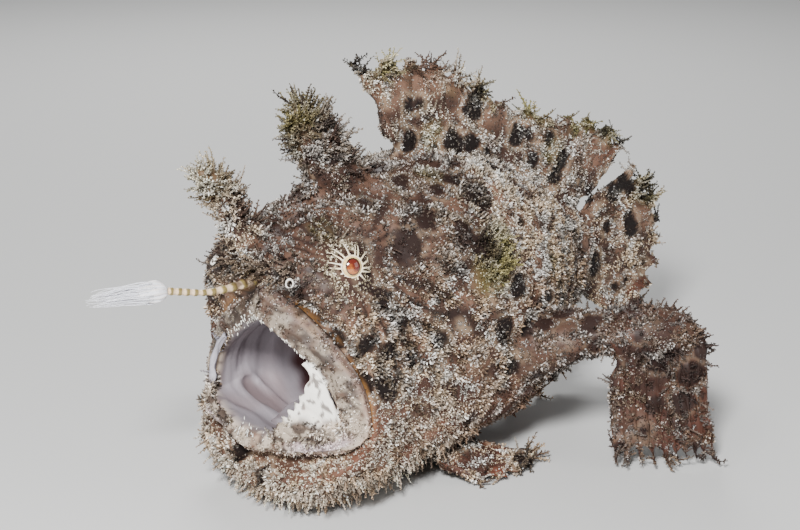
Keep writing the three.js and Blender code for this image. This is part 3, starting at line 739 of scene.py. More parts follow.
def eye_polar(p):
    """Distance from the nearer eye's axis and angle round it, as seen from outside the head."""
    q = np.where(p[:, 1:2] > 0, p * MIRROR, p) - EYE
    side = unit(np.cross(EYE_AXIS, [0, 0, 1]))
    up = np.cross(side, EYE_AXIS)
    x, y = q @ side, q @ up
    depth = q @ EYE_AXIS
    return np.hypot(x, y) + np.maximum(-depth - 4, 0) * 2, np.arctan2(y, x)


def plain(colour, count):
    """One colour for a number of points."""
    return np.tile(np.array(colour), (count, 1))


def blend(base, colour, amount):
    """Moves the colours of points by a share towards another colour, or towards those of a list."""
    return base + (np.asarray(colour) - base) * np.clip(amount, 0, 1)[:, None]


def ground_colours(p, broad, middle, fine, palette):
    """Skin in patches of tan, rust and brown, and tips from cream to brown with white flecks."""
    z = p[:, 2]
    base = plain(palette["tan"], len(p))
    base = blend(base, palette["rust"], smooth_step(0.0, 0.6, noise(p, 10.0, 14) - 0.45 * (z - 30) / 30))
    base = blend(base, palette["brown"], smooth_step(-0.35, 0.35, middle + 0.4 * fine) * 0.85)
    tips = plain(palette["cream"], len(p))
    tips = blend(tips, palette["tan"], smooth_step(-0.3, 0.6, broad) * 0.6)
    tips = blend(tips, palette["grey"], smooth_step(45, 70, z + 10 * broad) * 0.5)
    tips = blend(tips, palette["rust"], smooth_step(0.15, 0.7, noise(p, 5.0, 15)) * 0.6)
    rows = noise(p * [0.7, 0.8, 1.5], 3.4, 16) + 0.4 * fine
    tips = blend(tips, palette["brown"], smooth_step(-0.02, 0.3, rows) * 0.88)
    tips = blend(tips, palette["white"], smooth_step(0.12, 0.45, noise(p, 2.0, 17)) * 0.8)
    return base, tips


def dark_marks(p, kind, middle, fine):
    """Shares of the dark marks and of the pale outlines round the spots. The marks are scattered spots,
    the large spots, and streaks that run back from the eye."""
    cells = spot_field(p, 8.5, 31) + 0.09 * fine
    share = smooth_step(-0.2, 0.3, noise(p, 20.0, 33) + 0.35 * (kind == FIN) + 0.25)
    dark = (1 - smooth_step(-0.03, 0.05, cells)) * share
    halo = smooth_step(0.02, 0.07, cells) * (1 - smooth_step(0.12, 0.22, cells)) * share
    for centre, radius in BIG_SPOTS:
        off = np.linalg.norm(p - np.array(centre), axis=1) + 0.7 * middle
        dark = np.maximum(dark, 1 - smooth_step(radius - 0.5, radius + 0.3, off))
    distance, angle = eye_polar(p)
    streak = 0.5 + 0.5 * np.cos(angle * STREAKS_ROUND_EYE + 3.0 * noise(p, 6.0, 21))
    streak = smooth_step(0.55, 0.8, streak + 0.35 * middle) * smooth_step(6, 9, distance)
    streak = streak * (1 - smooth_step(24, 42, distance)) * (kind == BODY)
    return np.maximum(dark, streak * 0.85), halo


def olive_share(p, kind, reach, middle):
    """How olive the skin is: most at the tips of spines and fins and in the clump on each flank."""
    z = p[:, 2]
    spine_ends = smooth_step(0.62, 0.95, reach) * ((kind == THIRD_SPINE) + 0.4 * (kind == SECOND_SPINE))
    fin_ends = smooth_step(0.7, 1.0, reach) * (kind == FIN) * (z > 40) * smooth_step(-0.3, 0.4, middle + 0.2)
    clump = 1 - smooth_step(4, 10, np.linalg.norm(p - CLUMP, axis=1) + 3 * middle)
    patches = smooth_step(0.45, 0.8, noise(p, 11.0, 41)) * smooth_step(30, 60, z) * 0.6
    return np.maximum.reduce([spine_ends, fin_ends, clump, patches])


def shade_share(p, kind):
    """How far painted shade takes the colours to brown: on the head's top, the rear, the arms, hands and
    third spine.
    """
    x, y, z = p.T
    body = 0.55 * smooth_step(44, 60, z) * smooth_step(5, -15, x) + 0.12 * smooth_step(10, 40, x)
    hand = 0.75 * smooth_step(34, 42, np.abs(y)) * (1 - smooth_step(34, 42, z))
    return body * (kind == BODY) + hand * (kind == FIN) + 0.75 * (kind == ARM) + 0.5 * (kind == THIRD_SPINE)


def lip_grains(p, palette):
    """The lips' mottling of pale and brown blocks, with more brown on the far upper lip."""
    far_top = smooth_step(-4, 6, p[:, 1]) * smooth_step(36, 42, p[:, 2])
    blocks = noise(p, 1.3, 51) + 0.6 * noise(p, 3.0, 52) + 0.35 * far_top
    return blend(plain(palette["lip"], len(p)), palette["brown"], smooth_step(-0.1, 0.15, blocks) * 0.85)


def lip_colour(p, row, middle, palette):
    """Grains on the lips' inner half, smooth streaked flesh on the outer half, and a pink fold in the
    lower corners."""
    _, y, z = p.T
    colour = blend(lip_grains(p, palette), palette["tan"], smooth_step(-0.1, 0.4, noise(p, 2.4, 54)) * 0.6)
    streaks = smooth_step(0.0, 0.5, noise(p * [1.0, 1.0, 0.35], 1.0, 53))
    flesh = blend(plain(palette["lip_flesh"], len(p)), palette["cream"], streaks * 0.4)
    colour = blend(colour, flesh, smooth_step(9.3, 10.4, row + 0.5 * middle))
    pink = smooth_step(9, 15, np.abs(y)) * (1 - smooth_step(19, 23, z)) * bell(row, 7.6, 1.1)
    colour = blend(colour, palette["lip_pink"], pink * 0.9)
    return colour * (1 - 0.35 * smooth_step(26, 34, z))[:, None]


def arch(p):
    """Distance from the middle of the fleshy arch on the mouth's side walls, 1 along its ridge."""
    return np.hypot((p[:, 0] + 41) / 3.4, (p[:, 2] - 16) / 7.0)


def lining_colour(p, palette):
    """The mouth's wall: pale, with darker clouds, painted shade under the arch, and a dark red painted shadow
    deep in the throat.
    """
    dark, clouds = palette["lining_dark"], noise(p * [1.6, 1, 0.6], 6.0, 61)
    colour = blend(plain(palette["lining"], len(p)), dark, smooth_step(0.0, 0.7, clouds) * 0.5)
    colour = blend(colour, palette["rust"], smooth_step(0.1, 0.8, noise(p, 6.0, 62)) * 0.2)
    # painted shade inside the fleshy arch
    colour = blend(colour, dark, (1 - smooth_step(0.7, 0.95, arch(p))) * 0.55)
    # painted shadow: dark red further back in the throat
    depth = smooth_step(-31.0, -27.5, p[:, 0] + 1.2 * noise(p, 3.0, 64))
    return blend(colour, palette["throat"], depth * 0.96)


def sheet_colour(p, palette):
    """The sheets in the corners of the gape: white with dark specks on the near side, partly painted light,
    in bluish painted shade on the far side, and grained like the lips at the bottom."""
    specks = smooth_step(0.25, 0.45, noise(p, 0.9, 63))
    colour = blend(plain(palette["white"], len(p)), palette["brown"], specks * 0.8)
    colour = blend(colour, palette["lip_flesh"], smooth_step(0.2, 0.7, noise(p, 3.0, 65)) * 0.4)
    # painted shade: the far sheet is a darker, bluish copy of the near one
    colour = blend(colour, palette["sheet_far"], smooth_step(-2, 2, p[:, 1]) * 0.9)
    return blend(colour, lip_grains(p, palette), smooth_step(26.5, 23, p[:, 2] + 2 * noise(p, 3.0, 66)))


def skin_colours(p, kind, row, reach, palette):
    """The colour of the skin between the spinules, and of the spinules' tips, at points p."""
    x, _, z = p.T
    broad, middle, fine = noise(p, 14.0, 11), noise(p, 6.0, 12), noise(p, 2.2, 13)
    body = kind == BODY
    base, tips = ground_colours(p, broad, middle, fine, palette)
    # cream cheeks and chin
    cheek = smooth_step(-2, -20, x) * (1 - smooth_step(16, 32, z + 4 * broad)) * body
    clumps = smooth_step(-0.25, 0.25, noise(p, 2.6, 42) + 0.3 * fine)
    base = blend(base, palette["tan"], cheek * 0.3)
    tips = blend(tips, palette["cream"], cheek * (0.3 + 0.55 * clumps))
    tips = blend(tips, palette["white"], cheek * clumps * 0.35)
    # olive tips, then spots and streaks
    olive = olive_share(p, kind, reach, middle)
    dark, halo = dark_marks(p, kind, middle, fine)
    base = blend(base, palette["olive"], olive * 0.75)
    tips = blend(tips, palette["moss"], olive * 0.8)
    tips = blend(tips, palette["white"], halo * 0.35)
    base = blend(base, palette["cream"], halo * 0.3)
    base = blend(base, palette["spot"], dark)
    tips = blend(tips, palette["spot"], dark * 0.82)
    # red-brown belly, its own colour deepened by painted shade, and painted shade on the head's top, the
    # rear, arms, hands and third spine
    # the belly's own red-brown, partly painted shade on the low flank
    belly_rust_and_shade = smooth_step(26, 12, z + 3 * middle) * smooth_step(-22, -8, x) * body
    shade = shade_share(p, kind)
    base = blend(blend(base, palette["rust"], belly_rust_and_shade * 0.6), palette["brown"], shade * 0.8)
    tips = blend(blend(tips, palette["rust"], belly_rust_and_shade * 0.5), palette["brown"], shade)
    # pale tips round the eye
    around = 1 - smooth_step(4.5, 8.0, eye_polar(p)[0])
    base = blend(base, palette["brown"], around * 0.5)
    tips = blend(tips, palette["eye_ray"], around * 0.7)
    # lips, the groove and the fold behind them, the lining of the mouth and the sheets in its corners
    lip = body * (1 - smooth_step(LIP_ROW - 0.4, LIP_ROW + 0.4, row))
    lips = lip_colour(p, row, middle, palette)
    base = blend(base, lips, lip)
    tips = blend(tips, lips * 1.1, lip * 0.85)
    # painted shade in the groove behind the lips, in the colour of the dark spots
    groove = body * bell(row, GROOVE_ROW, 0.4) * smooth_step(10, 16, z)
    base = blend(base, palette["spot"], groove * 0.9)
    fold = body * bell(row, FOLD_ROW, 0.3) * smooth_step(20, 28, z)
    base = blend(base, palette["amber"], fold * smooth_step(-0.5, 0.2, noise(p, 4.0, 57)) * 0.85)
    lining = body * (1 - smooth_step(LINING_ROW - 0.6, LINING_ROW + 0.6, row + 0.25 * middle))
    base = blend(base, lining_colour(p, palette), lining)
    sheet = sheet_colour(p, palette)
    base = blend(base, sheet, kind == SHEET)
    tips = blend(tips, sheet, kind == SHEET)
    return np.clip(base, 0, 1), np.clip(tips, 0, 1)


def bare_skin(p, kind, row):
    """0 where the coat stands full, 1 where the skin is bare: in the mouth, in the groove behind the
    lips and round the eyes. The lips' outer half is half bare."""
    distance, _ = eye_polar(p)
    body = kind == BODY
    ragged = 0.4 * noise(p, 3.0, 71)
    lining = body * (1 - smooth_step(LINING_ROW + 0.2, LINING_ROW + 1.4, row + ragged))
    groove = body * bell(row, (GROOVE_ROW + FOLD_ROW) / 2, 0.75) * smooth_step(18, 24, p[:, 2])
    lip = body * (0.12 + 0.5 * smooth_step(9.0, 10.0, row)) * (1 - smooth_step(LIP_ROW, COAT_ROW, row))
    eye = 1 - smooth_step(2.8, 5.0, distance)
    sheet = (kind == SHEET) * smooth_step(21, 25, p[:, 2])
    return np.clip(np.maximum.reduce([lining, groove, lip, eye, sheet]), 0, 1)


def relief(p, kind, row, sizes):
    """How far each point of the skin is moved outwards, in millimetres: in by the coat's depth, and
    out by lumps, wrinkles on the lips, folds in the mouth and the groove behind the lips."""
    x, y, z = p.T
    depth = sizes.coat_depth / MM
    body = kind == BODY
    coated = 1 - bare_skin(p, kind, row)
    lumps = noise(p, 8.0, 81) * 0.6 + noise(p, 3.5, 82) * 0.45 + noise(p, 1.8, 87) * 0.15
    out = coated * (lumps * sizes.lump_height / MM - depth * np.where(body, 1.0, 0.25))
    round_mouth = np.arctan2(z - CORNER_Z - 8, y)
    lip = body * smooth_step(LINING_ROW, 8.0, row) * (1 - smooth_step(LIP_ROW, GROOVE_ROW, row))
    out = out + lip * (np.sin(round_mouth * 90) * 0.1 + noise(p, 1.6, 83) * 0.35 - 0.2)
    out = out - body * 0.8 * bell(row, GROOVE_ROW, 0.35)
    out = out + body * 0.6 * bell(row, FOLD_ROW, 0.35) * smooth_step(16, 24, z)
    folds = body * smooth_step(1.5, 3.0, row) * (1 - smooth_step(5.2, LINING_ROW, row))
    wave = np.sin(x * 1.1 + 2.6 * noise(p, 9.0, 84)) * 0.24 + np.sin(x * 3.1 + 2.0 * noise(p, 5.0, 88)) * 0.08
    out = out + folds * (wave - 0.4 + 0.5 * noise(p, 7.0, 85) + 1.2 * bell(arch(p), 1, 0.2))
    return out + (kind == FIN) * 0.12 * noise(p, 2.0, 86)


PALETTE = {
    "tan": ("Tan", (0.22, 0.122, 0.082)),
    "brown": ("Brown", (0.045, 0.023, 0.018)),
    "rust": ("Rust", (0.17, 0.062, 0.038)),
    "cream": ("Cream", (0.74, 0.55, 0.36)),
    "white": ("White tips", (0.92, 0.88, 0.80)),
    "grey": ("Grey back", (0.46, 0.44, 0.38)),
    "olive": ("Olive skin", (0.13, 0.11, 0.03)),
    "moss": ("Olive tips", (0.40, 0.36, 0.13)),
    # colour of the dark spots, also painted shade in the groove behind the lips
    "spot": ("Dark spots", (0.012, 0.007, 0.006)),
    "lip": ("Lips", (0.56, 0.46, 0.36)),
    "lip_flesh": ("Lips' outer skin", (0.34, 0.23, 0.19)),
    "lip_pink": ("Lips' smooth fold", (0.62, 0.50, 0.52)),
    "amber": ("Amber fold", (0.24, 0.115, 0.035)),
    # painted shade on the far sheet in the corner of the gape
    "sheet_far": ("Far corner of the mouth", (0.40, 0.38, 0.44)),
    "lining": ("Mouth lining", (0.27, 0.24, 0.262)),
    "lining_dark": ("Mouth shadow", (0.13, 0.09, 0.09)),
    # painted shadow deep in the throat
    "throat": ("Throat", (0.045, 0.008, 0.008)),
    "eye_ray": ("Rays round the eye", (0.88, 0.74, 0.50)),
    "pupil": ("Pupil", (0.11, 0.014, 0.007)),
    # painted light in the lower part of the pupil
    "glow": ("Pupil's glow", (0.62, 0.20, 0.04)),
    "iris": ("Iris", (0.85, 0.60, 0.25)),
    "rod_dark": ("Rod bands", (0.20, 0.15, 0.05)),
    "lure": ("Lure", (0.86, 0.86, 0.92)),
    "tooth": ("Teeth", (0.90, 0.88, 0.80)),
}


def colour_property(label, default):
    """A colour that a user may change."""
    return bpy.props.FloatVectorProperty(
        name=label,
        description=label + " of the frogfish",
        subtype="COLOR",
        size=3,
        min=0,
        max=1,
        default=default,
    )


def length_property(label, description, default):
    """A length in metres that a user may change."""
    return bpy.props.FloatProperty(name=label, description=description, default=default, unit="LENGTH", min=0)


class FrogfishSizes(bpy.types.PropertyGroup):
    """Sizes that a user may change"""

    coat_depth: length_property("Coat depth", "How far the skin lies inside the solids", 0.0009)
    coat_length: length_property("Spinule length", "Length of a spinule on the flank", 0.00095)
    coat_gap: length_property("Spinule gap", "Distance between neighbouring spinules", 0.00091)
    lump_height: length_property("Lump height", "Height of the soft lumps of the skin", 0.0014)
    tassel_length: length_property("Tassel length", "Length of the longest skin tassels", 0.0046)


class FrogfishColours(bpy.types.PropertyGroup):
    """Colours that a user may change"""

    __annotations__ = {key: colour_property(*value) for key, value in PALETTE.items()}


def palette_of(context):
    """The colours as they are set in the sidebar, by name."""
    return {key: tuple(getattr(context.scene.frogfish_colours, key)) for key in PALETTE}


# Materials


def principled(name):
    """A new material and its shader."""
    material = bpy.data.materials.new(name)
    material.use_nodes = True
    return material, material.node_tree.nodes["Principled BSDF"]


def tinted(name, roughness, coat=0.0, shine=0.5):
    """A finish whose colour is the piece's tint attribute."""
    material, shader = principled(name)
    tint = material.node_tree.nodes.new("ShaderNodeAttribute")
    tint.attribute_name = "tint"
    material.node_tree.links.new(tint.outputs["Color"], shader.inputs["Base Color"])
    shader.inputs["Roughness"].default_value = roughness
    shader.inputs["Specular IOR Level"].default_value = shine
    shader.inputs["Coat Weight"].default_value = coat
    shader.inputs["Coat Roughness"].default_value = 0.15
    return material


def grained(material, strength, scale, height):
    """Adds a fine bump of noise to a material."""
    tree = material.node_tree
    place = tree.nodes.new("ShaderNodeTexCoord")
    grain = tree.nodes.new("ShaderNodeTexNoise")
    grain.inputs["Scale"].default_value = scale
    grain.inputs["Detail"].default_value = 4
    bump = tree.nodes.new("ShaderNodeBump")
    bump.inputs["Strength"].default_value = strength
    bump.inputs["Distance"].default_value = height
    tree.links.new(place.outputs["Object"], grain.inputs["Vector"])
    tree.links.new(grain.outputs["Fac"], bump.inputs["Height"])
    tree.links.new(bump.outputs["Normal"], tree.nodes["Principled BSDF"].inputs["Normal"])
    return material


def finish(obj, material, slot, *nodes):
    """Gives a piece its material, and puts it on the fish in place of its solids. The slot is not used."""
    obj.data.materials.clear()
    obj.data.materials.append(material)
    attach(obj, "root")
    if nodes:
        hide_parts(*nodes)
    return obj


# Roots of the coat on the finished skin


# More cubes than there are along the fish, so that each has a number of its own
CELLS_A_ROW = 4001


def skin_samples(mesh, count, weight, seed, spacing=None):
    """Random points of the skin, drawn by area times weight, with their normal, map place and values.
    With a spacing, only the first point in each cube of that size is kept."""
    rng = np.random.default_rng(seed)
    mesh.calc_loop_triangles()
    n = len(mesh.loop_triangles)
    corners = np.zeros(n * 3, np.int32)
    loops = np.zeros(n * 3, np.int32)
    mesh.loop_triangles.foreach_get("vertices", corners)
    mesh.loop_triangles.foreach_get("loops", loops)
    corners, loops = corners.reshape(-1, 3), loops.reshape(-1, 3)
    places, normals = vertex_places(mesh), vertex_normals(mesh)
    data = {key: read(mesh, key) for key in VALUES}
    uv = np.zeros(len(mesh.loops) * 2, np.float32)
    mesh.uv_layers["OFBake"].data.foreach_get("uv", uv)
    uv = uv.reshape(-1, 2).astype(float)
    a, b, c = (places[corners[:, k]] for k in range(3))
    area = np.linalg.norm(np.cross(b - a, c - a), axis=1) / 2
    middle = {key: value[corners].mean(1) for key, value in data.items()}
    chance = area * weight((a + b + c) / 3, unit(normals[corners].mean(1)), middle)
    total = np.cumsum(chance)
    pick = np.searchsorted(total, rng.random(count) * total[-1])
    pick = np.minimum(pick, n - 1)
    r, s = np.sqrt(rng.random(count)), rng.random(count)
    shares = np.stack([1 - r, r * (1 - s), r * s], 1)

    def read_at(values, index):
        return np.einsum("nk,nk...->n...", shares, values[index])

    roots = {key: read_at(value, corners[pick]) for key, value in data.items()}
    roots["kind"] = np.round(roots["kind"])
    roots["p"] = read_at(places, corners[pick])
    roots["n"] = unit(read_at(normals, corners[pick]))
    roots["uv"] = read_at(uv, loops[pick])
    if spacing:
        cell = np.floor(roots["p"] / spacing).astype(np.int64)
        key = (cell[:, 0] * CELLS_A_ROW + cell[:, 1]) * CELLS_A_ROW + cell[:, 2]
        _, first = np.unique(key, return_index=True)
        roots = {key: value[np.sort(first)] for key, value in roots.items()}
    return roots


def cross_frame(axis, rng):
    """Two directions square to each axis, turned by a random angle."""
    other = np.where(np.abs(axis[:, 2:3]) < 0.9, [[0.0, 0.0, 1.0]], [[1.0, 0.0, 0.0]])
    a = unit(np.cross(axis, other))
    b = np.cross(axis, a)
    t = rng.random(len(axis))[:, None] * TAU
    return a * np.cos(t) + b * np.sin(t), b * np.cos(t) - a * np.sin(t)


def clubs(base, axis, length, width, rng, sides=3):
    """Small clubs: each runs from a point under the skin to a ring at 0.7 of its length and a blunt
    tip. Returns points (n, sides + 2, 3) and the faces of one club."""
    a, b = cross_frame(axis, rng)
    turns = np.arange(sides) / sides * TAU
    ring_points = (
        base[:, None]
        + axis[:, None] * (length * 0.7)[:, None, None]
        + a[:, None] * (np.cos(turns)[:, None] * width[:, None, None])
        + b[:, None] * (np.sin(turns)[:, None] * width[:, None, None])
    )
    points = np.concatenate([base[:, None], ring_points, (base + axis * length[:, None])[:, None]], 1)
    i = np.arange(sides)
    j = (i + 1) % sides
    low = np.stack([np.zeros(sides, int), 1 + j, 1 + i], 1)
    top = np.stack([np.full(sides, sides + 1), 1 + i, 1 + j], 1)
    return points, np.concatenate([low, top])


def repeated(faces, count, stride):
    """The faces of count like shapes, each with stride points of its own."""
    return (faces[None] + (np.arange(count) * stride)[:, None, None]).reshape(-1, faces.shape[1])


# Size of a tuft's patch on the map
PATCH = 0.003
# Clubs in a tuft, and points in a club
SPINULES = 4
CLUB_POINTS = 5
TUFTS_A_PIECE = 7800
# Height above the floor, in millimetres, below which no spinule or tassel reaches
LOWEST = 0.05


def spinule_mesh(name, roots, sizes, palette, seed):
    """Forked spinules: from each root four clubs lean apart, round the skin's normal. They stand long and
    close in clumps and short between these. Their feet are darkened as painted shade deep in the coat and
    their heads pale, each club with a tone of its own. The map puts each tuft on a small patch."""
    rng = np.random.default_rng(seed)
    p, n, kind = roots["p"], roots["n"], roots["kind"]
    count = len(p)
    base_tint, tip_tint = skin_colours(p, kind, roots["row"], roots["reach"], palette)
    distance, _ = eye_polar(p)
    clump = smooth_step(-0.45, 0.55, noise(p, 2.4, 91) + 0.5 * noise(p, 5.5, 92))
    dark = 1 - smooth_step(0.04, 0.16, tip_tint.mean(1))
    size = np.full(count, sizes.coat_length / MM) * (0.45 + 0.85 * clump)
    size = size * (0.6 + 0.4 * smooth_step(5, 14, distance)) * np.where(kind == FIN, 0.75, 1.0)
    size = size * np.where((kind == BODY) & (roots["row"] < COAT_ROW), 0.5, 1.0)
    size = size * (0.8 + 0.5 * rng.random(count)) * (1 - 0.55 * dark)
    lie = np.stack([noise(p, 5.0, 93 + k) for k in range(3)], -1) * 0.9
    side_a, side_b = cross_frame(n, rng)
    blocks, tints, maps = [], [], []
    for k in range(SPINULES):
        turn = k / SPINULES * TAU
        splay = side_a * np.cos(turn) + side_b * np.sin(turn)
        axis = unit(n + splay * (0.45 + 0.75 * rng.random((count, 1))) + lie)
        axis = unit(axis + n * np.maximum(0.25 - np.sum(axis * n, 1, keepdims=True), 0))
        length = size * (0.6 + 0.7 * rng.random(count))
        width = (0.13 + 0.15 * rng.random(count)) * (0.7 + 0.5 * clump)
        points, faces = clubs(p - n * 0.2, axis, length + 0.2, width, rng)
        points[..., 2] = np.maximum(points[..., 2], LOWEST)
        blocks.append(points)
        own = rng.random((count, 1))
        head = tip_tint * (0.2 + 1.2 * own**1.3) + (own > 0.8) * 0.32 * (1 - dark)[:, None]
        # painted shade: the feet are darkened to 0.3 of the skin's colour among the spinules
        foot = base_tint * 0.3
        shade = np.array([0.0, 0.75, 0.75, 0.75, 1.0])[None, :, None]
        tints.append(np.clip(foot[:, None] + (head - foot)[:, None] * shade, 0, 0.95))
        height = np.array([0.0, 0.3, 0.3, 0.3, 0.5])
        angle = turn + np.array([0.0, -0.5, 0.0, 0.5, 0.0])
        offset = np.stack([np.cos(angle), np.sin(angle)], -1) * height[:, None] * PATCH
        maps.append(roots["uv"][:, None] + offset[None])
    points = np.stack(blocks, 1).reshape(-1, 3)
    tint = np.stack(tints, 1).reshape(-1, 3)
    uv = np.stack(maps, 1).reshape(-1, 2)
    all_faces = repeated(faces, count * SPINULES, CLUB_POINTS)
    return new_object(name, points, [all_faces], [np.clip(uv[all_faces], 0, 1)], tint=tint, smooth=False)


STEM_RINGS = 5
STEM_SIDES = 3
BARBS = 13


def tassel_mesh(name, roots, lie, length, palette, seed):
    """Branching tassels: a thin three-sided stem along a bent path p + out t + lie t squared, with short
    clubs set round it. Colours run from the skin's, darkened at the foot as painted shade, to the pale tips."""
    rng = np.random.default_rng(seed)
    p, n = roots["p"], roots["n"]
    count = len(p)
    base_tint, tip_tint = skin_colours(p, roots["kind"], roots["row"], roots["reach"], palette)
    # painted shade: the tassels' feet are darker than the skin, among the spinules
    base_tint = base_tint * 0.45
    tip_tint = np.clip(tip_tint * (0.5 + 0.95 * rng.random((count, 1))), 0, 0.95)
    length = length * (0.6 + 0.7 * rng.random(count))
    out = unit(n + 0.35 * rng.normal(size=(count, 3)))
    bend = lie + 0.3 * rng.normal(size=(count, 3))

    def stem(t):
        t = np.asarray(t)[..., None]
        path = out[:, None] * t + bend[:, None] * t * t * 0.6
        return p[:, None] - n[:, None] * 0.3 + path * length[:, None, None]

    t = np.broadcast_to(np.linspace(0, 1, STEM_RINGS), (count, STEM_RINGS))
    centres = stem(t)
    forward = unit(stem(t + 0.02) - centres)
    a, b = cross_frame(out, rng)
    thick = 0.3 * (1 - 0.75 * t)
    turns = np.arange(STEM_SIDES) / STEM_SIDES * TAU
    rings = (
        centres[:, :, None]
        + a[:, None, None] * np.cos(turns)[:, None] * thick[..., None, None] * 1.5
        + np.cross(forward, a[:, None])[:, :, None] * np.sin(turns)[:, None] * thick[..., None, None]
    )
    tip = stem(np.full((count, 1), 1.08))
    stems = np.concatenate([rings.reshape(count, -1, 3), tip], 1)
    quad, _ = quads(STEM_RINGS, STEM_SIDES, wrap=True)
    split = np.concatenate([quad[:, [0, 1, 2]], quad[:, [0, 2, 3]]])
    i = np.arange(STEM_SIDES)
    end = STEM_RINGS * STEM_SIDES
    last = end - STEM_SIDES
    cap = np.stack([last + i, last + (i + 1) % STEM_SIDES, np.full(STEM_SIDES, end)], 1)
    stem_faces = np.concatenate([split, cap, [[0, 2, 1]]])
    stride = end + 1
    share = np.concatenate([np.repeat(np.linspace(0, 1, STEM_RINGS), STEM_SIDES), [1.08]])
    stem_tint = base_tint[:, None] + (tip_tint - base_tint)[:, None] * (share * 0.5)[None, :, None]
    barb_points, barb_tints = [], []
    for k in range(BARBS):
        at = np.full((count, 1), 0.15) + (k + rng.random((count, 1))) / BARBS * 0.88
        foot = stem(at)[:, 0]
        direction = unit(rng.normal(size=(count, 3)) + out * 0.7 + bend * 0.9)
        size = length * (0.36 - 0.2 * at[:, 0])
        points, faces = clubs(foot, direction, size, 0.15 + 0.13 * rng.random(count), rng)
        barb_points.append(points)
        shade = np.array([0.1, 0.8, 0.8, 0.8, 1.0])[None, :, None]
        head = np.clip(tip_tint * (0.3 + 1.0 * rng.random((count, 1))), 0, 0.95)
        barb_tints.append(base_tint[:, None] + (head - base_tint)[:, None] * shade)
    barbs = np.stack(barb_points, 1).reshape(-1, 3)
    points = np.concatenate([stems.reshape(-1, 3), barbs])
    points[:, 2] = np.maximum(points[:, 2], LOWEST)
    tint = np.concatenate([stem_tint.reshape(-1, 3), np.stack(barb_tints, 1).reshape(-1, 3)])
    first = len(stems) * stride
    barb_faces = repeated(faces, count * BARBS, CLUB_POINTS) + first
    all_faces = np.concatenate([repeated(stem_faces, count, stride), barb_faces])
    tassel = np.arange(count)
    owner = np.concatenate([np.repeat(tassel, stride), np.repeat(tassel, BARBS * CLUB_POINTS)])
    spread = (np.random.default_rng(seed + 1).random((len(points), 2)) - 0.5) * PATCH
    uv = roots["uv"][owner] + spread
    return new_object(name, points, [all_faces], [np.clip(uv[all_faces], 0, 1)], tint=tint)


def near(p, centre, radius):
    """1 close to a place, 0 beyond a radius."""
    return 1 - smooth_step(radius * 0.5, radius, np.linalg.norm(p - np.array(centre), axis=1))


# Operators


class FROGFISH_OT_skin(bpy.types.Operator):
    """Makes the skin: body, limbs, spines and fins joined into one surface, with relief and colours"""

    bl_idname = "frogfish.skin"
    bl_label = "Skin"

    def execute(self, context):
        sizes, palette = context.scene.frogfish_sizes, palette_of(context)
        skin = body_object()
        for flip in (False, True):
            side = MIRROR if flip else 1
            combine(skin, ball_object("orbit", ORBIT * side, ORBIT_RADIUS), "UNION")
            combine(skin, ball_object("socket", EYE * side, EYE_RADIUS + SOCKET_GAP), "DIFFERENCE")
            combine(skin, limb_object("arm", LIMBS["arm"], flip), "UNION")
            combine(skin, fin_object("hand", FINS["hand"], flip), "UNION")
            combine(skin, fin_object("foot", FINS["foot"], flip), "UNION")
            combine(skin, fin_object("sheet", sheet_spec(FAR_SHEET_SHARE if flip else 1.0), flip), "UNION")
        for name in ("second_spine", "third_spine"):
            combine(skin, limb_object(name, LIMBS[name], False), "UNION")
        for name in ("dorsal", "caudal", "anal"):
            combine(skin, fin_object(name, FINS[name], False), "UNION")
        mesh = skin.data
        fill_values(mesh)
        smooth_joins(mesh)
        places, normals = vertex_places(mesh), vertex_normals(mesh)
        kind, row, reach = np.round(read(mesh, "kind")), read(mesh, "row"), read(mesh, "reach")
        from_eye = np.minimum(*(np.linalg.norm(q - EYE, axis=1) for q in (places, places * MIRROR)))
        move = np.where(np.abs(from_eye - EYE_RADIUS) < 0.3, 0, relief(places, kind, row, sizes))
        places = places + normals * move[:, None]
        places[:, 2] = np.maximum(places[:, 2], 0.0)
        place_vertices(mesh, places)
        base, tips = skin_colours(places, kind, row, reach, palette)
        bare = bare_skin(places, kind, row)
        # painted shade: the skin under the coat is darkened to 0.7, bare skin keeps its colour
        base = np.where(bare[:, None] > 0.5, base, base * 0.7)
        add_tint(mesh, base)
        mesh.polygons.foreach_set("use_smooth", np.ones(len(mesh.polygons), bool))
        if not 40000 < len(mesh.polygons) < 199000:
            raise RuntimeError(f"the skin has {len(mesh.polygons)} faces")
        finish(
            skin,
            grained(tinted("wet skin", 0.5, shine=0.2), strength=0.25, scale=900.0, height=0.0003),
            "skin",
            *("head", "lower_jaw", "torso", "tail"),
            *("second_dorsal_spine", "third_dorsal_spine"),
            *("soft_dorsal_fin", "caudal_fin", "anal_fin"),
            *("pectoral_arm_left", "pectoral_arm_right", "pectoral_fin_left", "pectoral_fin_right"),
            *("pelvic_fin_left", "pelvic_fin_right"),
        )
        return {"FINISHED"}


# Where the coat's pieces of the head, the trunk and the rear meet
TRUNK_START = -22
REAR_START = 8


